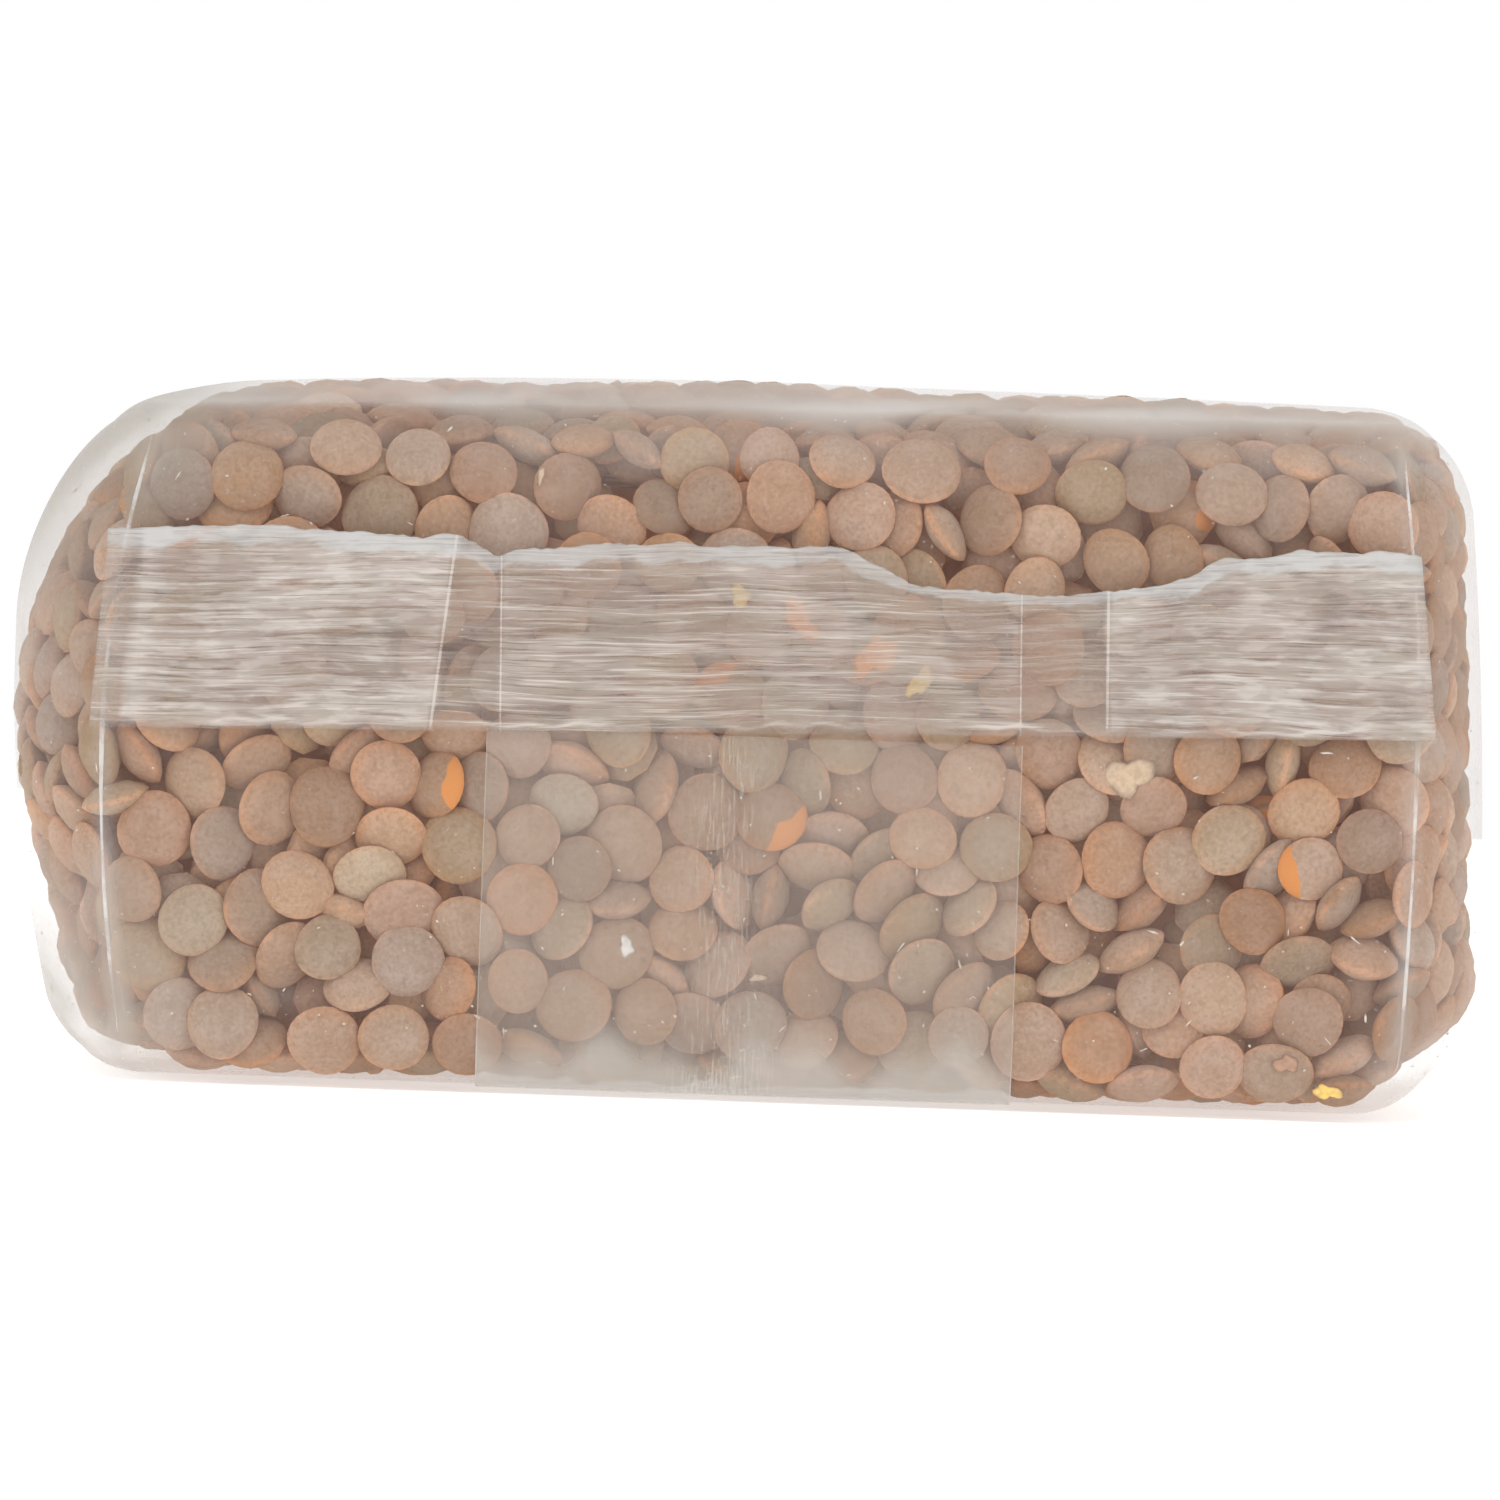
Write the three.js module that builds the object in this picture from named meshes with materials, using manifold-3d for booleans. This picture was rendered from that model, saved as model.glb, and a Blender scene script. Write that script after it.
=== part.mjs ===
// A sealed clear plastic bag of lentils, lying on its back panel.
// Millimetres, +Z up. The end that is folded flat with its crimped seal towards the viewer faces -Y.
// The origin is the centre of the underside. The film, its welded seals and what fills it are one solid.
import * as THREE from 'three';
import * as BufferGeometryUtils from 'three/addons/utils/BufferGeometryUtils.js';
import Module from 'manifold-3d';

// Driving sizes of the filled bag
const BODY_LENGTH = 140;
const BODY_HEIGHT = 49.1;
const END_HEIGHT = 46.2;
const END_TOP_SLOPE = 0.0155;
const FLARE_LENGTH = 24;
const UNDERSIDE = 0.4;

// Each side: how far a folded end reaches at its top edge, at the seal and at its bottom edge,
// then how far the body reaches, the height where it is widest, how much narrower it is below and above,
// and how far its top falls towards that side
const LEFT = {
  end: { top: 40.9, middle: 44.4, bottom: 42.2 },
  reach: 51.1,
  widestAt: 0.25,
  below: 4.2,
  above: 0.7,
  topFall: 2.2,
};
const RIGHT = {
  end: { top: 43.9, middle: 45.7, bottom: 45.0 },
  reach: 51.0,
  widestAt: -0.6,
  below: 0.5,
  above: 2.3,
  topFall: 0.4,
};

// Radii of the body's four long edges and of an end's corners, and how late one turns into the other
const EDGE_RADIUS = { topLeft: 16, topRight: 7.7, bottomRight: 10, bottomLeft: 5 };
const END_RADIUS = { topLeft: 1.2, topRight: 2.2, bottomRight: 4.5, bottomLeft: 2.6 };
const LEAST_RADIUS = 0.8;
const RADIUS_LATENESS = 1.7;

// The film rolls over the top and bottom of an end, and is creased sharply at its sides
const END_ROLL = 3.2;
const END_CREASE = 0.8;

// Soft lumps where the filling pushes on the film, fading out towards the base and the ends
const LUMPS = { height: 0.32, lengths: [13.1, 9.7, 17.3], fromBase: 4, fadeUp: 6, fadeIn: 5, evenness: 8 };

// The grid of the body: cells across, along and up, closer together towards the edges
const CELLS = { across: 28, along: 36, up: 13 };
const CLOSER_AT_EDGES = 0.78;

// The crimped seal fin: its root line on the end, its size, and the layers of film in it
const FIN = {
  centre: 0.8,
  rootHeight: 24.6,
  rootSlope: 0.0245,
  rootRadius: 0.9,
  rootSink: 0.35,
  height: 13,
  halfAtRoot: 45.2,
  halfAtEdge: 44.0,
  standOff: 0.6,
  lean: THREE.MathUtils.degToRad(3),
  twoLayers: 0.55,
  fourLayers: 0.9,
  tuckLeft: 22.8,
  tuckRight: 21.9,
  room: 3,
  foldInset: 0.5,
  foldSegments: 12,
  spare: 1,
};

// The torn free edge of the fin: a notch, a long trough, and waves along all of it
const EDGE_STEPS = 44;
const EDGE_NOTCH = { at: -17.8, depth: 1.5, width: 1.3 };
const EDGE_TROUGH = { depth: 3.1, downFrom: 4.7, downTo: 10.1, upFrom: 26.5, upTo: 32.5 };
const EDGE_WAVES = [
  { height: 0.22, length: 10.1 },
  { height: 0.14, length: 3.7 },
];

// The ribs that the sealing jaws press into the fin
const RIBS = { count: 12, pitch: 0.88, first: 1.6, width: 0.56, crest: 0.24, proud: 0.16 };

// The film overlaps along the back panel, and the overlap runs up both ends to the fins
const OVERLAP = { from: -17.7, to: 18.3, thickness: 0.4, bite: 1.2 };

// The folded flaps of an end stand a little proud of it and of the sides
const FLAP = { thickness: 0.9, outside: 0.2, beside: 0.5, inset: 2.4, steps: 14, corner: 1.2, sharpness: 14 };

// Points closer than this are one point, and details smaller than the second are merged once all is joined
const SAME_POINT = 1e-4;
const SMALLEST_DETAIL = 0.01;

const FILM_OVER_LENTILS = new THREE.MeshStandardMaterial({ color: 0xb4937c, roughness: 0.45, metalness: 0 });

const mix = (from, to, share) => from + (to - from) * share;
const { clamp } = THREE.MathUtils;

const wasm = await Module();
wasm.setup();

// Closed three.js geometry to a solid that can be joined and cut
function solidOf(geometry) {
  const bare = geometry.clone();
  bare.deleteAttribute('normal');
  bare.deleteAttribute('uv');
  const merged = BufferGeometryUtils.mergeVertices(bare, SAME_POINT);
  return new wasm.Manifold(new wasm.Mesh({
    numProp: 3,
    vertProperties: new Float32Array(merged.attributes.position.array),
    triVerts: new Uint32Array(merged.index.array),
  }));
}

// A solid back to three.js geometry
function geometryOf(solid) {
  const mesh = solid.getMesh();
  const geometry = new THREE.BufferGeometry();
  geometry.setAttribute('position', new THREE.BufferAttribute(new Float32Array(mesh.vertProperties), 3));
  geometry.setIndex(new THREE.BufferAttribute(new Uint32Array(mesh.triVerts), 1));
  geometry.computeVertexNormals();
  return geometry;
}

// An outline drawn on an end (x across, y up), as a plate that starts at outer and grows outwards
function plateOnEnd(shape, outer, thickness) {
  const geometry = new THREE.ExtrudeGeometry(shape, { depth: thickness, bevelEnabled: false, curveSegments: 4 });
  geometry.rotateX(Math.PI / 2);
  geometry.translate(0, -outer, 0);
  return geometry;
}

// How far the film has opened out from the folded end (0) to the full body (1)
function openedAt(fromEnd) {
  return Math.sin(clamp(fromEnd / FLARE_LENGTH, 0, 1) * Math.PI / 2);
}

// How far one side of a folded end reaches at a height from -1 (bottom) to 1 (top)
function endHalfAt(side, height) {
  const edge = height > 0 ? side.end.top : side.end.bottom;
  return mix(side.end.middle, edge, height * height);
}

// How far one side of the body reaches at a height from -1 to 1
function bodyHalfAt(side, height) {
  const span = height < side.widestAt ? 1 + side.widestAt : 1 - side.widestAt;
  const fall = height < side.widestAt ? side.below : side.above;
  return side.reach - fall * ((height - side.widestAt) / span) ** 2;
}

// The radius of the long edge in the quadrant that a point is in
function edgeRadiusAt(across, height, opened) {
  const corner = (height > 0 ? 'top' : 'bottom') + (across < 0 ? 'Left' : 'Right');
  return mix(END_RADIUS[corner], EDGE_RADIUS[corner], opened ** RADIUS_LATENESS);
}

// Rounds the corner of a rectangle: beyond the inner rectangle, squares become circles
function roundCorner(offsetX, offsetZ) {
  const square = Math.max(offsetX, offsetZ);
  const round = Math.hypot(offsetX, offsetZ);
  return round > 0 ? square / round : 1;
}

// Low lumps from three crossed waves
function lumpAt(x, y, z) {
  const wave = (length, a, b, c) => Math.sin((2 * Math.PI / length) * (a * x + b * y + c * z) + a + 2 * b);
  const [first, second, third] = LUMPS.lengths;
  const crossed = wave(first, 0.8, 0.6, 0.3) + wave(second, -0.5, 0.8, 0.4) + wave(third, 0.3, -0.4, 0.9);
  return crossed * LUMPS.height / 3;
}

// A point of the unit box (each coordinate from -1 to 1) to its place on the filled bag
function placeOnBag(across, along, height) {
  const fromEnd = (1 - Math.abs(along)) * BODY_LENGTH / 2;
  const opened = openedAt(fromEnd);
  const side = across < 0 ? LEFT : RIGHT;
  const intoRoll = Math.max(END_ROLL - fromEnd, 0);
  const roll = END_ROLL - Math.sqrt(END_ROLL * END_ROLL - intoRoll * intoRoll);
  const crease = END_CREASE * roll / END_ROLL;

  const half = mix(endHalfAt(side, height), bodyHalfAt(side, height), opened) - crease;
  const endTop = END_HEIGHT + END_TOP_SLOPE * across * half;
  const bodyTop = BODY_HEIGHT - side.topFall * across * across;
  const top = mix(endTop, bodyTop, opened) - roll;
  const bottom = UNDERSIDE + roll;
  const middle = (top + bottom) / 2;
  const halfHeight = (top - bottom) / 2;

  const radius = Math.max(edgeRadiusAt(across, height, opened) - roll / 2, LEAST_RADIUS);
  let x = Math.abs(across) * half;
  let z = Math.abs(height) * halfHeight;
  const overX = x - (half - radius);
  const overZ = z - (halfHeight - radius);
  if (overX > 0 && overZ > 0) {
    const shrink = roundCorner(overX, overZ);
    x = half - radius + overX * shrink;
    z = halfHeight - radius + overZ * shrink;
  }
  const place = new THREE.Vector3(Math.sign(across) * x, along * BODY_LENGTH / 2, middle + Math.sign(height) * z);

  const fadedUp = clamp((place.z - LUMPS.fromBase) / LUMPS.fadeUp, 0, 1);
  const fadedIn = clamp(fromEnd / LUMPS.fadeIn, 0, 1);
  const lump = lumpAt(place.x, place.y, place.z) * fadedUp * fadedIn;
  place.x += Math.abs(across) ** LUMPS.evenness * Math.sign(across) * lump;
  place.z += Math.max(height, 0) ** LUMPS.evenness * lump;
  return place;
}

function makeBody() {
  const box = new THREE.BoxGeometry(2, 2, 2, CELLS.across, CELLS.along, CELLS.up);
  const spread = (t) => Math.sin(t * CLOSER_AT_EDGES * Math.PI / 2) / Math.sin(CLOSER_AT_EDGES * Math.PI / 2);
  const position = box.attributes.position;
  for (let i = 0; i < position.count; i += 1) {
    const place = placeOnBag(spread(position.getX(i)), spread(position.getY(i)), spread(position.getZ(i)));
    position.setXYZ(i, place.x, place.y, place.z);
  }
  return solidOf(box);
}

// The two flaps of an end as one thin plate, a little wider than the end, that reads as folded film edges
function makeFlaps() {
  const outline = new THREE.Shape();
  const along = (side, sign, i) => {
    const share = i / FLAP.steps;
    const height = mix(-1, 1, share);
    const rounding = FLAP.corner * Math.abs(height) ** FLAP.sharpness;
    const x = sign * (endHalfAt(side, height) + FLAP.beside - rounding);
    const top = END_HEIGHT + END_TOP_SLOPE * x - FLAP.inset;
    return [x, mix(UNDERSIDE + FLAP.inset, top, share)];
  };
  outline.moveTo(...along(RIGHT, 1, 0));
  for (let i = 1; i <= FLAP.steps; i += 1) {
    outline.lineTo(...along(RIGHT, 1, i));
  }
  for (let i = FLAP.steps; i >= 0; i -= 1) {
    outline.lineTo(...along(LEFT, -1, i));
  }
  return solidOf(plateOnEnd(outline, BODY_LENGTH / 2 + FLAP.outside - FLAP.thickness, FLAP.thickness));
}

// How much of the fin's height is left at a place across it: the free edge is torn and wavy
function finHeightAt(x) {
  const { smoothstep } = THREE.MathUtils;
  const notch = EDGE_NOTCH.depth * Math.exp(-(((x - EDGE_NOTCH.at) / EDGE_NOTCH.width) ** 2));
  const down = smoothstep(x, EDGE_TROUGH.downFrom, EDGE_TROUGH.downTo);
  const up = smoothstep(x, EDGE_TROUGH.upFrom, EDGE_TROUGH.upTo);
  let height = FIN.height - notch - EDGE_TROUGH.depth * down * (1 - up);
  for (const wave of EDGE_WAVES) {
    height += wave.height * Math.sin(2 * Math.PI * x / wave.length);
  }
  return height;
}

// The fin's outline, with its root along y = 0 and a torn and wavy free edge
function finOutline() {
  const outline = new THREE.Shape();
  outline.moveTo(-FIN.halfAtRoot, 0);
  outline.lineTo(FIN.halfAtRoot, 0);
  for (let i = EDGE_STEPS; i >= 0; i -= 1) {
    const x = mix(-FIN.halfAtEdge, FIN.halfAtEdge, i / EDGE_STEPS);
    outline.lineTo(x, finHeightAt(x));
  }
  return outline;
}

// Crimped film between two places across the fin: a strip whose section has a row of ribs on its front
function makeCrimpedStrip(fromX, toX, thickness) {
  const front = FIN.standOff + thickness;
  const section = new THREE.Shape();
  section.moveTo(FIN.standOff, 0);
  section.lineTo(front, 0);
  for (let i = 0; i < RIBS.count; i += 1) {
    const height = RIBS.first + i * RIBS.pitch;
    section.lineTo(front, height - RIBS.width / 2);
    section.lineTo(front + RIBS.proud, height - RIBS.crest / 2);
    section.lineTo(front + RIBS.proud, height + RIBS.crest / 2);
    section.lineTo(front, height + RIBS.width / 2);
  }
  section.lineTo(front, FIN.height + FIN.spare);
  section.lineTo(FIN.standOff, FIN.height + FIN.spare);
  const geometry = new THREE.ExtrudeGeometry(section, { depth: toX - fromX, bevelEnabled: false });
  geometry.rotateX(Math.PI / 2).rotateZ(-Math.PI / 2).translate(toX, 0, 0);
  return solidOf(geometry);
}

// The fin with its layers, standing on its root line at the origin and facing -Y
function makeFin() {
  const outline = solidOf(plateOnEnd(finOutline(), 0, FIN.room));
  const foldLength = 2 * (FIN.halfAtRoot - FIN.foldInset);
  const fold = new THREE.CylinderGeometry(FIN.rootRadius, FIN.rootRadius, foldLength, FIN.foldSegments);
  fold.rotateZ(Math.PI / 2).translate(0, FIN.rootSink - FIN.rootRadius, 0);
  return makeCrimpedStrip(-FIN.halfAtRoot, FIN.halfAtRoot, FIN.twoLayers)
    .add(makeCrimpedStrip(-FIN.halfAtRoot - FIN.spare, -FIN.halfAtRoot + FIN.tuckLeft, FIN.fourLayers))
    .add(makeCrimpedStrip(FIN.halfAtRoot - FIN.tuckRight, FIN.halfAtRoot + FIN.spare, FIN.fourLayers))
    .intersect(outline)
    .add(solidOf(fold));
}

// The fin laid against the shown end, along its sloping root line and leaning out a little
function placeFin(fin) {
  const matrix = new THREE.Matrix4().makeTranslation(FIN.centre, -BODY_LENGTH / 2, FIN.rootHeight)
    .multiply(new THREE.Matrix4().makeRotationY(-Math.atan(FIN.rootSlope)))
    .multiply(new THREE.Matrix4().makeRotationX(FIN.lean));
  return fin.transform(matrix.elements);
}

// The overlap of the film: a strap that wraps the underside and the lower half of both ends
function makeOverlap() {
  const outer = BODY_LENGTH / 2 + OVERLAP.thickness;
  const inner = BODY_LENGTH / 2 - OVERLAP.bite;
  const radius = END_ROLL + OVERLAP.thickness;
  const innerRadius = END_ROLL - OVERLAP.bite;
  const strap = new THREE.Shape();
  strap.moveTo(-outer, FIN.rootHeight);
  strap.lineTo(-outer, radius);
  strap.absarc(-outer + radius, radius, radius, Math.PI, 1.5 * Math.PI, false);
  strap.absarc(outer - radius, radius, radius, 1.5 * Math.PI, 2 * Math.PI, false);
  strap.lineTo(outer, FIN.rootHeight);
  const innerCentre = UNDERSIDE + OVERLAP.bite + innerRadius;
  strap.lineTo(inner, FIN.rootHeight);
  strap.absarc(inner - innerRadius, innerCentre, innerRadius, 0, -0.5 * Math.PI, true);
  strap.absarc(-inner + innerRadius, innerCentre, innerRadius, 1.5 * Math.PI, Math.PI, true);
  strap.lineTo(-inner, FIN.rootHeight);
  const geometry = new THREE.ExtrudeGeometry(strap, {
    depth: OVERLAP.to - OVERLAP.from, bevelEnabled: false, curveSegments: 5,
  });
  geometry.rotateX(Math.PI / 2).rotateZ(Math.PI / 2);
  geometry.translate(OVERLAP.from, 0, 0);
  return solidOf(geometry);
}

// The far end is folded like the shown one, as its mirror image
function makeBag() {
  const fin = placeFin(makeFin());
  const flaps = makeFlaps();
  const toFarEnd = [0, 1, 0];
  return makeBody()
    .add(flaps)
    .add(flaps.mirror(toFarEnd))
    .add(makeOverlap())
    .add(fin)
    .add(fin.mirror(toFarEnd))
    .simplify(SMALLEST_DETAIL);
}

const bag = new THREE.Mesh(geometryOf(makeBag()), FILM_OVER_LENTILS);
bag.name = 'bag';

const model = new THREE.Group();
model.add(bag);

export default model;
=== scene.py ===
# A sealed clear film bag of small brown lentils, lying on its back panel.
import itertools
import math
import bpy
import numpy as np
from mathutils import Matrix, Vector
from mathutils.bvhtree import BVHTree


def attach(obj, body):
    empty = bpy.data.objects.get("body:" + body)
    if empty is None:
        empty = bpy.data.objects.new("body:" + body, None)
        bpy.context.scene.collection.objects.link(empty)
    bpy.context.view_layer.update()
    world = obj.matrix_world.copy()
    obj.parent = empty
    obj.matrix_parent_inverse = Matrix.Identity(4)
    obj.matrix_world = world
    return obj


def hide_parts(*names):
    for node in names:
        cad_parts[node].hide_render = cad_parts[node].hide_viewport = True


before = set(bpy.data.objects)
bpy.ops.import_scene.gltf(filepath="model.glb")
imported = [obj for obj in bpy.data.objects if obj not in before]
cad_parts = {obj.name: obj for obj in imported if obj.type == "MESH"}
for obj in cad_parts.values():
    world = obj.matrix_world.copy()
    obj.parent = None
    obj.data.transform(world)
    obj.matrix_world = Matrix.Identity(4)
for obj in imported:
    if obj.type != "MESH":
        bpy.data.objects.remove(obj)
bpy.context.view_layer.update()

# All sizes below are in millimetres, and meshes are scaled to metres as they are made
MM = 0.001
SEED = 41
rng = np.random.default_rng(SEED)

# The filled bag, with the same sizes and shaping as its solid
BODY_LENGTH = 140.0
HALF_WIDTH = 48.0
BODY_HEIGHT = 49.1
END_HEIGHT = 46.2
END_TOP_SLOPE = 0.0155
FLARE_LENGTH = 24.0
UNDERSIDE = 0.4
LEFT = {"top": 40.9, "middle": 44.4, "bottom": 42.2, "reach": 51.1, "widest": 0.25, "below": 4.2,
        "above": 0.7, "fall": 2.2}
RIGHT = {"top": 43.9, "middle": 45.7, "bottom": 45.0, "reach": 51.0, "widest": -0.6, "below": 0.5,
         "above": 2.3, "fall": 0.4}
EDGE_RADIUS = {"top_left": 16.0, "top_right": 7.7, "bottom_right": 10.0, "bottom_left": 5.0}
END_RADIUS = {"top_left": 1.2, "top_right": 2.2, "bottom_right": 4.5, "bottom_left": 2.6}
LEAST_RADIUS = 0.8
RADIUS_LATENESS = 1.7
END_ROLL = 3.2
END_CREASE = 0.8

# The seal fin, folded up onto each end
FIN = {"centre": 0.8, "root": 24.6, "slope": 0.0245, "height": 13.0, "half_root": 45.2, "half_edge": 44.0,
       "stand_off": 0.6, "lean": math.radians(3)}

# The film overlaps along the back panel and up both ends
OVERLAP = {"from": -17.7, "to": 18.3}

# The camera, and the photograph's frame: its width in pixels, and how many make a millimetre at the shown end
FRAME_PIXELS = 1500
PIXELS_PER_MM = 14.9
CAMERA_DISTANCE = 900.0
CAMERA_HEIGHT = 23.5
CAMERA_ROLL = math.radians(2)
SENSOR = 36.0
FLOOR_GLOW = 0.55
LAMP_SIZE = 0.9


def mix(a, b, share):
    return a + (b - a) * share


def smooth(value, low=0.0, high=1.0):
    t = np.clip((value - low) / (high - low), 0.0, 1.0)
    return t * t * (3.0 - 2.0 * t)


def bump(value, at, width):
    return np.exp(-((value - at) / width) ** 2)


def rise(value, at, reach):
    """From 0 to 1 about a place."""
    return smooth(value, at - reach, at + reach)


def waves(value, *terms):
    """A sum of sines: the height, the rate and the start of each."""
    return sum(height * np.sin(rate * value + start) for height, rate, start in terms)


def by_side(x, key):
    return np.where(x < 0, LEFT[key], RIGHT[key])


def opened_at(from_end):
    return np.sin(np.clip(from_end / FLARE_LENGTH, 0.0, 1.0) * math.pi / 2)


def end_half_at(x, height):
    edge = np.where(height > 0, by_side(x, "top"), by_side(x, "bottom"))
    return mix(by_side(x, "middle"), edge, height * height)


def half_at(x, height, opened):
    widest = by_side(x, "widest")
    below = height < widest
    span = np.where(below, 1 + widest, 1 - widest)
    fall = np.where(below, by_side(x, "below"), by_side(x, "above"))
    body = by_side(x, "reach") - fall * ((height - widest) / span) ** 2
    return mix(end_half_at(x, height), body, opened)


def top_at(x, across, opened):
    return mix(END_HEIGHT + END_TOP_SLOPE * x, BODY_HEIGHT - by_side(across, "fall") * across ** 2, opened)


def edge_radius_at(x, height, opened):
    def by_corner(radii):
        top = np.where(x < 0, radii["top_left"], radii["top_right"])
        return np.where(height > 0, top, np.where(x < 0, radii["bottom_left"], radii["bottom_right"]))
    return mix(by_corner(END_RADIUS), by_corner(EDGE_RADIUS), opened ** RADIUS_LATENESS)


def place_on_bag(across, along, height):
    """Points of the unit box, each coordinate from -1 to 1, to their places on the filled bag."""
    from_end = (1 - np.abs(along)) * BODY_LENGTH / 2
    opened = opened_at(from_end)
    into_roll = np.maximum(END_ROLL - from_end, 0)
    roll = END_ROLL - np.sqrt(END_ROLL ** 2 - into_roll ** 2)
    half = half_at(across, height, opened) - END_CREASE * roll / END_ROLL
    top = top_at(across * half, across, opened) - roll
    bottom = UNDERSIDE + roll
    middle = (top + bottom) / 2
    half_height = (top - bottom) / 2
    radius = np.maximum(edge_radius_at(across, height, opened) - roll / 2, LEAST_RADIUS)
    x = np.abs(across) * half
    z = np.abs(height) * half_height
    over_x = x - (half - radius)
    over_z = z - (half_height - radius)
    corner = (over_x > 0) & (over_z > 0)
    shrink = np.where(corner, np.maximum(over_x, over_z) / np.maximum(np.hypot(over_x, over_z), 1e-9), 1.0)
    x = np.where(corner, half - radius + over_x * shrink, x)
    z = np.where(corner, half_height - radius + over_z * shrink, z)
    return np.stack([np.sign(across) * x, along * BODY_LENGTH / 2, middle + np.sign(height) * z], axis=-1)


def depth_inside(p):
    """How deep points lie under the film, roughly, in millimetres. Negative is outside."""
    x, y, z = p[..., 0], p[..., 1], p[..., 2]
    from_end = BODY_LENGTH / 2 - np.abs(y)
    opened = opened_at(np.maximum(from_end, 0))
    top = top_at(x, np.clip(x / HALF_WIDTH, -1, 1), opened)
    middle = (top + UNDERSIDE) / 2
    half_height = (top - UNDERSIDE) / 2
    height = np.clip((z - middle) / half_height, -1, 1)
    side = half_at(x, height, opened) - np.abs(x)
    cap = half_height - np.abs(z - middle)
    radius = edge_radius_at(x, height, opened)
    over_side = radius - side
    over_cap = radius - cap
    corner = (over_side > 0) & (over_cap > 0)
    wall = np.where(corner, radius - np.hypot(over_side, over_cap), np.minimum(side, cap))
    roll = np.where(cap < side, END_ROLL, 1.0)
    over_wall = roll - wall
    over_end = roll - from_end
    rolled = (over_wall > 0) & (over_end > 0)
    return np.where(rolled, roll - np.hypot(over_wall, over_end), np.minimum(wall, from_end))


def slack_at(p):
    """How far the filling stays back from the film: almost nothing, but more where the film shows empty."""
    x, y, z = p[..., 0], p[..., 1], p[..., 2]
    from_end = BODY_LENGTH / 2 - np.abs(y)
    near_end = 1 - smooth(from_end, 3.0, 22.0)
    toward_end = 1 - smooth(from_end, 12.0, 45.0)
    low_left = smooth(-x, 36.0, 45.0) * (1 - smooth(z, 5.0, 20.0))
    low_right = smooth(x, 40.0, 47.0) * (1 - smooth(z, 2.0, 9.0))
    high_left = smooth(-x, 34.0, 44.0) * smooth(z, 33.0, 44.0)
    facet = smooth(-x * 0.8 + z * 0.57, 55.5, 61.0)
    right = smooth(x, 46.0, 50.0) * smooth(z, 8.0, 16.0)
    top = smooth(z, 40.0, 46.0)
    ripple = 0.35 * (1 + np.sin(0.23 * x + 0.11 * y + 0.4) * np.sin(0.17 * y - 0.29 * z + 1.0))
    corners = 3.0 * low_left + 1.9 * low_right + 0.8 * high_left + 3.2 * facet + 0.9 * right
    return 0.15 + ripple * 0.5 + corners * mix(0.12, 1.0, toward_end) + 1.4 * top * near_end


def room_and_way_in(p):
    """How much room points have to the container's wall, and the unit vector that leads away from it."""
    room = depth_inside(p) - slack_at(p)
    step = 0.15
    way = np.empty_like(p)
    for axis in range(3):
        moved = p.copy()
        moved[..., axis] += step
        way[..., axis] = (depth_inside(moved) - slack_at(moved) - room) / step
    length = np.linalg.norm(way, axis=-1, keepdims=True)
    return room / np.maximum(length[..., 0], 0.6), way / np.maximum(length, 1e-6)


# Lentils: how large they are, how closely they start on a lattice, and how the packing moves them. Each one
# counts as a sphere in the middle and a ring of smaller ones, pushed apart and kept inside the film
LENTILS = {"diameter": 4.85, "spread": 0.28, "least": 4.1, "most": 5.5, "thin": 0.46, "thick": 0.56}
SHELL_DEPTH = 6.8
PER_CUBIC_MM = 0.0236
LATTICE_TURNS = (0.5, 0.37, 0.71)
LATTICE_JITTER = 1.1
RING_SPHERES = 6
PACKING_STEPS = 120
PRESSING_STEPS = 70
PRESS = 0.035
OUTER_LAYER = 2.7
NEAR_REACH = 9.0
GRID_REACH = [52, 71, 51]
LEAN = {"outer": 1.4, "inner": 1.8}
RING_RADIUS = 0.345
TURNING = 3.2
CORRECTION = 1.5
MOST_TURN = 0.25


def turned(axis_angle):
    """Rotation matrices from small rotation vectors, by the Rodrigues formula."""
    angle = np.linalg.norm(axis_angle, axis=-1)
    axis = axis_angle / np.maximum(angle, 1e-9)[:, None]
    x, y, z = axis.T
    zero = np.zeros_like(x)
    cross = np.stack([zero, -z, y, z, zero, -x, -y, x, zero], axis=-1).reshape(-1, 3, 3)
    s, c = np.sin(angle)[:, None, None], np.cos(angle)[:, None, None]
    return np.eye(3)[None] + s * cross + (1 - c) * (cross @ cross)


def facing(normals, spin):
    """Rotation matrices whose third column is the given direction."""
    helper = np.where(np.abs(normals[:, 2:3]) < 0.9, [[0.0, 0.0, 1.0]], [[1.0, 0.0, 0.0]])
    u = np.cross(helper, normals)
    u /= np.linalg.norm(u, axis=1, keepdims=True)
    v = np.cross(normals, u)
    c, s = np.cos(spin)[:, None], np.sin(spin)[:, None]
    return np.stack([u * c + v * s, v * c - u * s, normals], axis=-1)


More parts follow.
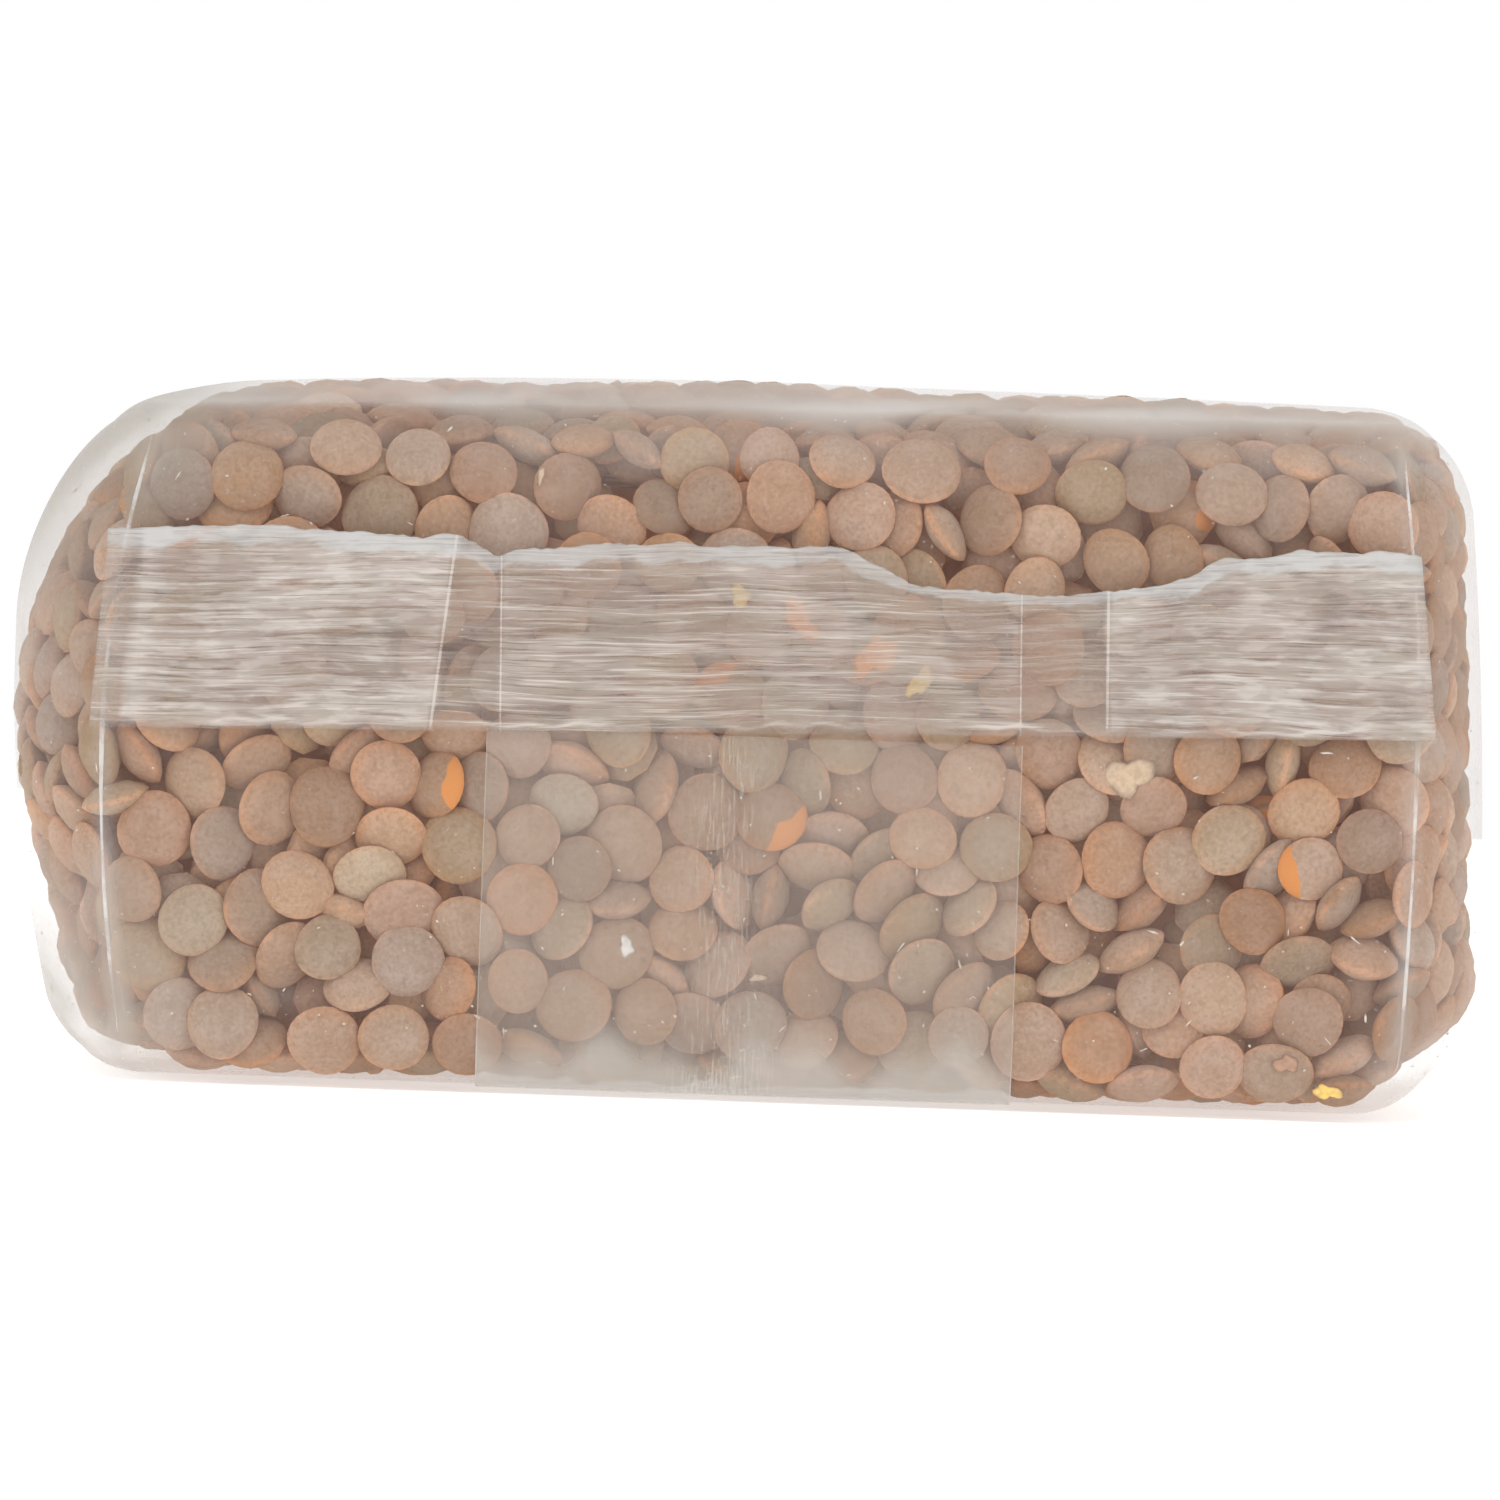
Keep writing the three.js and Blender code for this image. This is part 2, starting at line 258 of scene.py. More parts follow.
def neighbours(centres, reach):
    """Pairs of lentils whose centres are closer than reach, found on a grid of cells."""
    cell = np.floor(centres / reach).astype(np.int64)
    cell -= cell.min(axis=0)
    size = cell.max(axis=0) + 3
    key = (cell[:, 0] * size[1] + cell[:, 1]) * size[2] + cell[:, 2]
    order = np.argsort(key, kind="stable")
    sorted_key = key[order]
    pairs = []
    for dx, dy, dz in itertools.product((-1, 0, 1), repeat=3):
        wanted = key + (dx * size[1] + dy) * size[2] + dz
        start = np.searchsorted(sorted_key, wanted, side="left")
        count = np.searchsorted(sorted_key, wanted, side="right") - start
        i = np.repeat(np.arange(len(key)), count)
        within = np.arange(count.sum()) - np.repeat(np.cumsum(count) - count, count)
        j = order[np.repeat(start, count) + within]
        pairs.append(np.stack([i, j])[:, i < j])
    i, j = np.concatenate(pairs, axis=1)
    near = np.sum((centres[i] - centres[j]) ** 2, axis=1) < reach ** 2
    return i[near], j[near]


def summed(index, values, count):
    return np.stack([np.bincount(index, values[:, k], count) for k in range(values.shape[1])], axis=1)


def pack_lentils():
    """About two layers of lentils inside the film, pushed apart until they barely touch."""
    spacing = PER_CUBIC_MM ** (-1 / 3)
    steps = np.arange(-100, 100, spacing)
    grid = np.stack(np.meshgrid(steps, steps, steps, indexing="ij"), axis=-1).reshape(-1, 3)
    for axis, angle in zip("XYZ", LATTICE_TURNS):
        grid = grid @ np.array(Matrix.Rotation(angle, 3, axis))
    grid = grid[np.all(np.abs(grid) < GRID_REACH, axis=1)]
    grid = grid + rng.uniform(-LATTICE_JITTER, LATTICE_JITTER, grid.shape)
    room, way = room_and_way_in(grid)
    keep = (room > 0.8) & (room < SHELL_DEPTH)
    centres, way = grid[keep], way[keep]
    count = len(centres)
    diameter = rng.normal(LENTILS["diameter"], LENTILS["spread"], count)
    diameter = np.clip(diameter, LENTILS["least"], LENTILS["most"])
    thickness = diameter * rng.uniform(LENTILS["thin"], LENTILS["thick"], count)
    most_lean = np.where(room[keep] < OUTER_LAYER, LEAN["outer"], LEAN["inner"])
    leaning = rng.normal(0, 1, (count, 3)) * (rng.uniform(0.0, 1.0, count) * most_lean)[:, None]
    normals = -way + leaning
    normals /= np.linalg.norm(normals, axis=1, keepdims=True)
    rotation = facing(normals, rng.uniform(0, 2 * math.pi, count))

    small = RING_RADIUS * thickness
    angles = np.arange(RING_SPHERES) * 2 * math.pi / RING_SPHERES
    ring = np.stack([np.cos(angles), np.sin(angles), np.zeros(RING_SPHERES)], axis=1)
    local = np.zeros((count, RING_SPHERES + 1, 3))
    local[:, 1:] = ring[None] * (diameter / 2 - small)[:, None, None]
    radii = np.concatenate([thickness[:, None] / 2, np.repeat(small[:, None], RING_SPHERES, axis=1)], axis=1)
    turning = TURNING / (diameter / 2) ** 2

    for step in range(PACKING_STEPS):
        if step % 4 == 0:
            first, second = neighbours(centres, LENTILS["diameter"] + 0.7)
        spheres = centres[:, None] + np.einsum("nij,nkj->nki", rotation, local)
        gap = spheres[first][:, :, None].astype(np.float32) - spheres[second][:, None].astype(np.float32)
        distance2 = np.einsum("pabk,pabk->pab", gap, gap)
        touch = (radii[first][:, :, None] + radii[second][:, None]).astype(np.float32)
        pair, a, b = np.nonzero(distance2 < touch ** 2)
        i, j = first[pair], second[pair]
        apart = spheres[i, a] - spheres[j, b]
        distance = np.maximum(np.linalg.norm(apart, axis=1), 1e-6)
        push = apart / distance[:, None] * ((radii[i, a] + radii[j, b] - distance) / 2)[:, None]
        meeting = (spheres[i, a] + spheres[j, b]) / 2
        moves = summed(i, push, count) - summed(j, push, count)
        turns = summed(i, np.cross(meeting - centres[i], push), count)
        turns -= summed(j, np.cross(meeting - centres[j], push), count)
        contacts = np.bincount(i, minlength=count) + np.bincount(j, minlength=count)

        room, way = room_and_way_in(spheres)
        short = np.maximum(radii - room, 0)
        back = way * short[..., None]
        moves += back.sum(axis=1)
        turns += np.cross(spheres - centres[:, None], back).sum(axis=1)
        contacts = contacts + (short > 0).sum(axis=1)

        too_deep = np.maximum(room[:, 0] - SHELL_DEPTH, 0)[:, None]
        outward = -way[:, 0] * (too_deep + (PRESS if step < PRESSING_STEPS else 0.0))
        share = CORRECTION / np.maximum(contacts, 1)[:, None]
        centres = centres + moves * share + outward
        turns = turns * share * turning[:, None]
        length = np.linalg.norm(turns, axis=1, keepdims=True)
        turns *= np.minimum(1, MOST_TURN / np.maximum(length, 1e-9))
        rotation = turned(turns) @ rotation
        if step % 10 == 9:
            u, _, v = np.linalg.svd(rotation)
            rotation = u @ v

    for _ in range(3):
        spheres = centres[:, None] + np.einsum("nij,nkj->nki", rotation, local)
        room, way = room_and_way_in(spheres)
        short = np.maximum(radii - room, 0)
        worst = np.argmax(short, axis=1)
        rows = np.arange(count)
        centres = centres + way[rows, worst] * short[rows, worst][:, None]
    room, way = room_and_way_in(centres)
    return {"centres": centres, "rotation": rotation, "diameter": diameter, "thickness": thickness,
            "depth": room, "way": way}


def mesh_object(name, vertices, faces, attributes=None):
    """A mesh object from millimetre vertices, with per-vertex attributes."""
    mesh = bpy.data.meshes.new(name)
    mesh.from_pydata((np.asarray(vertices) * MM).tolist(), [], np.asarray(faces).tolist(), shade_flat=False)
    for key, values in (attributes or {}).items():
        values = np.asarray(values, dtype=np.float32)
        kind = "FLOAT" if values.ndim == 1 else "FLOAT_VECTOR"
        data = mesh.attributes.new(key, kind, "POINT").data
        data.foreach_set("value" if values.ndim == 1 else "vector", values.ravel())
    mesh.validate()
    obj = bpy.data.objects.new(name, mesh)
    bpy.context.scene.collection.objects.link(obj)
    return obj


LENS_SHARPNESS = 0.72


def ring_walls(rings, sides):
    """Triangles between rings of points."""
    a = np.arange(rings * sides).reshape(rings, sides)[:-1]
    b = np.roll(a, -1, axis=1)
    return np.stack([a, b, b + sides, a, b + sides, a + sides], axis=-1).reshape(-1, 3)


def lens_template(segments, shares):
    """A lens of radius 1 and half thickness 1, with rings at these shares of the radius, top to bottom."""
    angles = np.arange(segments) * 2 * math.pi / segments
    points = [[0.0, 0.0, 1.0]]
    for share, side in shares:
        height = side * (1 - share ** 2) ** LENS_SHARPNESS
        points += [[share * math.cos(t), share * math.sin(t), height] for t in angles]
    points.append([0.0, 0.0, -1.0])
    first = np.arange(segments) + 1
    after = np.roll(first, -1)
    to_last = (len(shares) - 1) * segments
    top = np.stack([0 * first, first, after], axis=1)
    bottom = np.stack([first + to_last, 0 * first + len(points) - 1, after + to_last], axis=1)
    walls = ring_walls(len(shares), segments)[:, ::-1] + 1
    return np.array(points), np.concatenate([top, walls, bottom])


LENS_SHAPES = {
    "near": lens_template(24, [(0.35, 1), (0.65, 1), (0.84, 1), (0.95, 1), (1.0, 1), (0.97, -1), (0.86, -1),
                               (0.5, -1)]),
    "mid": lens_template(15, [(0.5, 1), (0.85, 1), (1.0, 1), (0.95, -1), (0.6, -1)]),
    "far": lens_template(9, [(0.6, 1), (1.0, 1), (0.75, -1)]),
}


def lentil_meshes(packed, chosen, level):
    """Vertices, faces and attributes of the chosen lentils at one level of detail."""
    points, faces = LENS_SHAPES[level]
    n = len(chosen)
    draw = np.random.default_rng(SEED + 1).uniform(0, 1, (len(packed["centres"]), 8))[chosen]
    radius = packed["diameter"][chosen] / 2
    half = packed["thickness"][chosen] / 2
    angle = np.arctan2(points[:, 1], points[:, 0])
    wobble = 1 + 0.055 * draw[:, 0:1] * np.cos(2 * angle[None] + 6.28 * draw[:, 1:2]) \
        + 0.028 * draw[:, 2:3] * np.cos(3 * angle[None] + 6.28 * draw[:, 3:4])
    shaped = np.repeat(points[None], n, axis=0)
    shaped[:, :, 0] *= radius[:, None] * wobble
    shaped[:, :, 1] *= radius[:, None] * wobble
    shaped[:, :, 2] *= half[:, None] * (1 + 0.12 * (draw[:, 4:5] - 0.5) * points[None, :, 0])
    world = packed["centres"][chosen][:, None] + np.einsum("nij,nkj->nki", packed["rotation"][chosen], shaped)
    all_faces = (faces[None] + (np.arange(n) * len(points))[:, None, None]).reshape(-1, 3)
    disc = np.repeat(points[None], n, axis=0).reshape(-1, 3)
    tone = np.repeat(draw[:, None, 4:7], len(points), axis=1).reshape(-1, 3)
    return world.reshape(-1, 3), all_faces, {"disc": disc, "tone": tone}


def joined(parts):
    """Several sets of vertices, faces and attributes as one."""
    offset = 0
    vertices, faces, attributes = [], [], {}
    for points, polygons, values in parts:
        vertices.append(points)
        faces.append(polygons + offset)
        offset += len(points)
        for key, value in values.items():
            attributes.setdefault(key, []).append(value)
    attributes = {key: np.concatenate(values) for key, values in attributes.items()}
    return np.concatenate(vertices), np.concatenate(faces), attributes


def vertices_of(obj):
    """The places and normals of an object's vertices, in millimetres."""
    places = np.empty(len(obj.data.vertices) * 3, dtype=np.float32)
    normals = np.empty_like(places)
    obj.data.vertices.foreach_get("co", places)
    obj.data.vertices.foreach_get("normal", normals)
    return places.reshape(-1, 3) / MM, normals.reshape(-1, 3)


def faces_of(obj, sides):
    corners = np.empty(len(obj.data.polygons) * sides, dtype=np.int32)
    obj.data.loops.foreach_get("vertex_index", corners)
    return corners.reshape(-1, sides)


# For each kind of lentil its share, and the colours of its seed coat's face and rim as linear light
KINDS = {
    "tan": (0.21, (0.371, 0.250, 0.164), (0.473, 0.262, 0.144)),
    "brown": (0.20, (0.322, 0.212, 0.139), (0.426, 0.227, 0.119)),
    "grey": (0.12, (0.319, 0.237, 0.175), (0.400, 0.239, 0.146)),
    "olive": (0.15, (0.313, 0.232, 0.151), (0.406, 0.250, 0.133)),
    "rust": (0.13, (0.350, 0.212, 0.131), (0.473, 0.224, 0.097)),
    "rose": (0.15, (0.365, 0.239, 0.164), (0.463, 0.248, 0.146)),
    "cream": (0.005, (0.411, 0.328, 0.234), (0.484, 0.348, 0.222)),
    "chipped": (0.015, (0.357, 0.234, 0.154), (0.473, 0.239, 0.107)),
}

# The thin rim of a seed coat, where it is worn, and the split seed inside
EDGE_COLOUR = (0.58, 0.285, 0.14)
SPLIT_COLOUR = (0.62, 0.26, 0.078)

# The gloss of the film: seen straight on and at a glance, how fast it grows between them, and how soft it is
GLOSS = {"straight": 0.028, "glancing": 0.32, "power": 5.0, "roughness": 0.28}
WHITE = (1.0, 1.0, 1.0, 1.0)

# A faint warm glow painted onto the lentils and the core: an emission, not lamp light, that stands in for
# light coming through the seeds into the gaps between them
PAINTED_GLOW = (0.050, 0.016, 0.005)

# Lentils that stand out in the photograph: their kind, and how far across and up the shown end they lie
NOTABLE = [("cream", -35.9, 9.5), ("chipped", 38.3, 15.4), ("chipped", -21.1, 19.4), ("rust", 2.2, 38.9),
           ("grey", -33.2, 14.0), ("grey", -24.2, 9.6), ("grey", 30.2, 16.5), ("tan", 28.0, 10.9)]


class Nodes:
    """A short way to write shader nodes."""

    def __init__(self, name):
        self.material = bpy.data.materials.new(name)
        self.material.use_nodes = True
        self.tree = self.material.node_tree
        self.tree.nodes.clear()

    def add(self, kind, inputs=None, **settings):
        node = self.tree.nodes.new("ShaderNode" + kind)
        for key, value in settings.items():
            setattr(node, key, value)
        for key, value in (inputs or {}).items():
            self.put(node.inputs[key], value)
        return node

    def put(self, socket, value):
        if isinstance(value, bpy.types.NodeSocket):
            self.tree.links.new(value, socket)
        elif isinstance(value, bpy.types.Node):
            self.tree.links.new(value.outputs[0], socket)
        else:
            socket.default_value = value

    def math(self, operation, a, b=0.0, c=0.0, clamp=False):
        return self.add("Math", {0: a, 1: b, 2: c}, operation=operation, use_clamp=clamp).outputs[0]

    def ramp(self, value, low, high, to_low=0.0, to_high=1.0, kind="SMOOTHSTEP"):
        inputs = {"Value": value, "From Min": low, "From Max": high, "To Min": to_low, "To Max": to_high}
        return self.add("MapRange", inputs, interpolation_type=kind).outputs["Result"]

    def blend(self, share, a, b):
        return self.add("Mix", {"Factor": share, 6: a, 7: b}, data_type="RGBA").outputs[2]

    def plus(self, value, extra, share=1.0):
        """A value and a share of another."""
        return self.math("MULTIPLY_ADD", extra, share, value)

    def total(self, value, *terms):
        """A value and shares of others, kept between 0 and 1."""
        for extra, share in terms:
            value = self.plus(value, extra, share)
        return self.math("ADD", value, 0.0, clamp=True)

    def wavering(self, value, noise, reach):
        """A value moved both ways by a noise."""
        return self.plus(value, self.math("SUBTRACT", noise, 0.5), reach)

    def attribute(self, name, output="Fac"):
        node = self.add("Attribute", attribute_name=name, attribute_type="GEOMETRY")
        return node.outputs[output]

    def parts(self, vector):
        return self.add("SeparateXYZ", {0: vector}).outputs

    def position(self):
        """The place in the row's frame, in millimetres."""
        place = self.add("TexCoord").outputs["Object"]
        return self.add("VectorMath", {0: place, "Scale": 1 / MM}, operation="SCALE").outputs[0]

    def glossed(self, film, strength):
        """A film with a soft gloss on it, stronger at a glance, and the same from both sides."""
        facing = self.add("LayerWeight", {"Blend": 0.5}).outputs["Facing"]
        shine = self.plus(GLOSS["straight"], self.math("POWER", facing, GLOSS["power"]), GLOSS["glancing"])
        gloss = self.add("BsdfGlossy", {"Color": WHITE, "Roughness": GLOSS["roughness"]})
        return self.mixed(self.math("MULTIPLY", shine, strength), film, gloss)

    def mixed(self, share, first, second):
        return self.add("MixShader", {0: share, 1: first, 2: second})

    def with_painted_glow(self, shader):
        """The shader with a painted warm glow added: an emission that stands in for light coming through the
        seeds.
        """
        glow = self.add("Emission", {"Color": rgba(PAINTED_GLOW), "Strength": 1.0})
        return self.add("AddShader", {0: shader, 1: glow}).outputs[0]

    def noise(self, vector, scale, detail=3.0, roughness=0.5):
        """Noise at one scale, or at one for each axis."""
        if isinstance(scale, tuple):
            vector = self.add("VectorMath", {0: vector, 1: scale}, operation="MULTIPLY")
            scale = 1.0
        inputs = {"Vector": vector, "Scale": scale, "Detail": detail, "Roughness": roughness}
        return self.add("TexNoise", inputs).outputs["Fac"]

    def dress(self, obj, shader):
        """Gives an object this material, ended with a shader."""
        self.add("OutputMaterial", {"Surface": shader})
        obj.data.materials.append(self.material)
        return obj


def rgba(colour, lightness=1.0, paleness=0.0):
    """A colour with full alpha, as it is, darker, or mixed with white."""
    return (*(mix(part, 1.0, paleness) * lightness for part in colour), 1.0)


def seed_coat(obj, name, face, rim):
    """A dry seed coat: mottled face, warmer rim, and a thin bright edge, with a painted warm glow added."""
    n = Nodes(name)
    tone = n.parts(n.attribute("tone", "Vector"))
    across = n.parts(n.attribute("disc", "Vector"))
    flat = n.add("CombineXYZ", {0: across[0], 1: across[1]})
    radius = n.add("VectorMath", {0: flat}, operation="LENGTH").outputs["Value"]
    place = n.position()
    coarse = n.noise(place, 0.45, 1.0)
    fine = n.noise(place, 1.7, 3.0, 0.6)
    grain = n.noise(place, 3.6, 2.0, 0.65)
    speck = n.noise(place, 6.0, 1.0, 0.6)
    warm = n.ramp(n.wavering(radius, coarse, 0.22), 0.55, 1.02)
    warm = n.math("MULTIPLY", warm, n.ramp(tone[0], 0.0, 1.0, 0.3, 0.9))
    thin = n.math("MULTIPLY", n.ramp(radius, 0.90, 0.985, 0.0, 0.85), n.ramp(coarse, 0.40, 0.60))
    colour = n.blend(warm, rgba(face), rgba(rim))
    colour = n.blend(thin, colour, rgba(EDGE_COLOUR))
    mottles = [(coarse, 0.35, 0.75, 0.40, rgba(face, 1.0, 0.14)), (fine, 0.48, 0.72, 0.52, rgba(face, 0.72)),
               (grain, 0.50, 0.66, 0.46, rgba(face, 0.74)), (grain, 0.47, 0.33, 0.42, rgba(face, 1.0, 0.12)),
               (speck, 0.64, 0.76, 0.35, rgba(face, 0.55))]
    for noise, low, high, share, shade in mottles:
        colour = n.blend(n.ramp(noise, low, high, 0.0, share), colour, shade)
    value = n.ramp(tone[1], 0.0, 1.0, 0.84, 1.18, "LINEAR")
    saturation = n.ramp(tone[2], 0.0, 1.0, 0.84, 1.12, "LINEAR")
    colour = n.add("HueSaturation", {"Saturation": saturation, "Value": value, "Color": colour})
    if name == "chipped":
        colour = n.blend(n.ramp(n.wavering(across[0], coarse, 1.1), 0.50, 0.56), colour, rgba(SPLIT_COLOUR))
    # The painted warm glow, an emission, is added to the diffuse coat here
    return n.dress(obj, n.with_painted_glow(n.add("BsdfDiffuse", {"Color": colour, "Roughness": 0.4})))


def make_lentils(packed):
    """One piece for each kind of lentil."""
    draw = rng.uniform(0, 1, len(packed["centres"]))
    limits = np.cumsum([share for share, _, _ in KINDS.values()])
    which = np.searchsorted(limits / limits[-1], draw)
    x, y, z = packed["centres"].T
    from_end = y + BODY_LENGTH / 2
    for kind, across, up in NOTABLE:
        off = np.hypot(x - across, z - up) + 3 * np.maximum(from_end - 2, 0)
        which[np.argmin(off)] = list(KINDS).index(kind)
    outer = packed["depth"] < OUTER_LAYER
    near = outer & (from_end < NEAR_REACH)
    levels = {"near": near, "mid": outer & ~near, "far": ~outer}
    made = []
    for index, (name, (_, face, rim)) in enumerate(KINDS.items()):
        parts = [lentil_meshes(packed, np.nonzero(mask & (which == index))[0], level)
                 for level, mask in levels.items()]
        vertices, faces, attributes = joined(parts)
        obj = mesh_object("lentils_" + name, vertices, faces, attributes)
        made.append(seed_coat(obj, name, face, rim))
    return made


def quads_of(grid, flip=False):
    """The quads between the points of a grid."""
    quads = np.stack([grid[:-1, :-1], grid[1:, :-1], grid[1:, 1:], grid[:-1, 1:]], axis=-1).reshape(-1, 4)
    return quads[:, ::-1] if flip else quads


def unit_box_surface(across, along, up):
    """The surface of a unit box, as so many cells each way, which are closer at the edges."""
    def spread(cells):
        t = np.linspace(-1, 1, cells + 1) * 0.86
        return np.sin(t * math.pi / 2) / math.sin(0.86 * math.pi / 2)

    shape = (across + 1, along + 1, up + 1)
    surface = np.ones(shape, dtype=bool)
    surface[1:-1, 1:-1, 1:-1] = False
    index = np.full(shape, -1)
    index[surface] = np.arange(surface.sum())
    i, j, k = np.nonzero(surface)
    places = (spread(across)[i], spread(along)[j], spread(up)[k])
    sides = ((index[0], True), (index[-1], False), (index[:, 0], False), (index[:, -1], True),
             (index[:, :, 0], True), (index[:, :, -1], False))
    return places, np.concatenate([quads_of(grid, flip) for grid, flip in sides])


def vertex_normals(vertices, faces):
    normals = np.zeros_like(vertices)
    a, b, c, d = (vertices[faces[:, corner]] for corner in range(4))
    crossed = np.cross(c - a, d - b)
    for corner in range(4):
        normals += summed(faces[:, corner], crossed, len(vertices))
    return normals / np.maximum(np.linalg.norm(normals, axis=1, keepdims=True), 1e-12)


def edges_of(faces):
    """The sides of quads, both ways."""
    edges = np.concatenate([faces[:, [k, (k + 1) % 4]] for k in range(4)])
    return np.concatenate([edges, edges[:, ::-1]])


def smoothed(values, faces, times):
    """Averages a value over each point's neighbours, several times."""
    edges = edges_of(faces)
    degree = np.bincount(edges[:, 0], minlength=len(values))
    for _ in range(times):
        values = 0.5 * values + 0.5 * np.bincount(edges[:, 0], values[edges[:, 1]], len(values)) / degree
    return values


def tree_of(objects, sides):
    """A search tree of objects' faces, all with as many sides."""
    vertices, faces, _ = joined([(vertices_of(obj)[0], faces_of(obj, sides), {}) for obj in objects])
    return BVHTree.FromPolygons(vertices.tolist(), faces.tolist())


def least_nearby(values, faces, times):
    """The least value among each point and its neighbours, several times over."""
    edges = edges_of(faces)
    for _ in range(times):
        least = values.copy()
        np.minimum.at(least, edges[:, 0], values[edges[:, 1]])
        values = least
    return values


def gaps_below(tree, vertices, normals):
    """How far each film point is from what lies under it, up to a limit, by a ray from just outside."""
    limit, outside = 9.0, 0.4
    gaps = np.full(len(vertices), limit)
    for index, (place, normal) in enumerate(zip(vertices + normals * outside, normals)):
        hit = tree.ray_cast(Vector(place), Vector(-normal), limit)
        if hit[0] is not None:
            gaps[index] = hit[3] - outside
    return gaps


# The overlap is drawn as two sheets, each with its share of the haze: how far apart they are
SHEETS_APART = 0.06

# The share of the light on milky film that goes through it
LIGHT_THROUGH = 0.4


def of_each_sheet(haze):
    """What each of two sheets hides, when both together hide this share of what lies under them."""
    return 1 - np.sqrt(1 - np.clip(haze, 0.0, 0.9))


def dress_film(obj, n, haze, tint, gloss):
    """Clear film: see-through where it touches the filling, milky where it stands off, with a soft gloss."""
    clear = n.add("BsdfTransparent", {"Color": WHITE})
    front = n.add("BsdfDiffuse", {"Color": tint, "Roughness": 0.3})
    through = n.add("BsdfTranslucent", {"Color": tint})
    milk = n.mixed(LIGHT_THROUGH, front, through)
    return n.dress(obj, n.glossed(n.mixed(haze, clear, milk), gloss))


def body_film(obj):
    """The film of the body, with faint streaks and specks in it."""
    n = Nodes("film")
    place = n.position()
    streak = n.ramp(n.noise(place, (1.3, 0.25, 0.35), 2.0, 0.6), 0.55, 0.8, 0.0, 0.04)
    speck = n.ramp(n.noise(place, 2.6, 1.0, 0.5), 0.72, 0.78, 0.0, 0.25)
    haze = n.total(n.attribute("haze"), (streak, 1.0), (speck, 1.0))
    tint = n.blend(n.attribute("empty"), rgba((0.775, 0.768, 0.745)), rgba((0.62, 0.60, 0.55)))
    return dress_film(obj, n, haze, tint, 0.7)


def double_film(obj):
    """The second layer of film, with a thin line at its edges and fine stripes where it is sealed."""
    n = Nodes("overlap")
    place = n.position()
    striped = n.ramp(n.noise(place, (6.0, 0.3, 0.45), 2.0, 0.6), 0.48, 0.66, 0.0, 0.20)
    wrinkled = n.ramp(n.noise(place, (1.1, 0.6, 3.4), 2.0, 0.6), 0.60, 0.70, 0.0, 0.16)
    wrinkled = n.math("MULTIPLY", wrinkled, n.ramp(n.noise(place, 0.16, 0.0), 0.45, 0.6))
    edge = n.ramp(n.attribute("fold"), 0.04, 0.11, 0.25, 0.0)
    seal = n.attribute("seal")
    haze = n.total(n.attribute("haze"), (striped, seal), (wrinkled, seal), (edge, 1.0))
    tint = n.blend(n.attribute("empty"), rgba((0.77, 0.735, 0.675)), rgba((0.81, 0.80, 0.76)))
    return dress_film(obj, n, haze, tint, 0.4)


FILM_CELLS = {"across": 120, "along": 80, "up": 64}
DRAPE = 0.3

# How milky the film is: everywhere, in clouds, where it stands off the filling, beside folds (whiter there
# partly for the doubled film and partly as a painted highlight along the creases), along the top and in the
# corners of the ends, and in the overlap and where that is lifted
HAZE = {"film": 0.028, "clouds": 0.06, "empty": 0.54, "fold": 0.26, "top": 0.36, "corner": 0.24,
        "overlap": 0.17, "lifted": 0.42}


# Folds that run back from the shown end, each from a place on its outline to one on the body
CORNER_FOLDS = [((-41.2, -69.6, 44.6), (-50.4, -49.0, 35.0)), ((-41.2, -69.6, 44.6), (-45.5, -44.0, 46.4)),
                ((-42.2, -69.4, 2.2), (-48.0, -52.0, 7.0)), ((-43.9, -69.8, 25.0), (-50.6, -52.0, 30.0)),
                ((44.0, -69.6, 44.4), (49.6, -50.0, 42.0)), ((45.2, -69.6, 4.2), (50.3, -50.0, 8.5)),
                ((45.5, -69.8, 26.0), (50.6, -50.0, 22.0))]


def to_segment(points, start, end):
    """The distance from each point to a segment, and how far along it the nearest place is, from 0 to 1."""
    way = np.subtract(end, start)
    share = np.clip((points - start) @ way / (way @ way), 0, 1)
    return np.linalg.norm(points - start - share[:, None] * way, axis=1), share


def crease_at(vertices):
    """How far each point is from the folds at the sides of the ends and at their corners."""
    x, y, z = vertices.T
    from_end = BODY_LENGTH / 2 - np.abs(y)
    middle = (END_HEIGHT + UNDERSIDE) / 2
    half = end_half_at(x, np.clip((z - middle) / (END_HEIGHT / 2), -1, 1)) - END_CREASE
    nearest = np.hypot(np.abs(x) - half, np.maximum(from_end, 0))
    shown = np.stack([x, -np.abs(y), z], axis=1)
    for start, end in CORNER_FOLDS:
        off, share = to_segment(shown, start, end)
        nearest = np.minimum(nearest, off + 0.12 + 0.3 * share)
    return nearest


# Creases of the film: how thick and how flat, from how many places, how closely and with how many sides they
# are drawn, how far they stand out of it, and where they start and end
CREASE = {"radius": 0.19, "flat": 0.4, "places": 40, "step": 0.5, "sides": 6, "proud": 0.02, "from": 3.0,
          "short": 1.5}


def side_crease(end, side):
    """Places along the sharp fold at one side of an end."""
    z = np.linspace(CREASE["from"], END_HEIGHT - CREASE["short"], CREASE["places"])
    height = (z - (END_HEIGHT + UNDERSIDE) / 2) / (END_HEIGHT / 2)
    x = side * (end_half_at(side, height) - END_CREASE * 0.8)
    return np.stack([x, np.full_like(x, end * BODY_LENGTH / 2), z], axis=1)


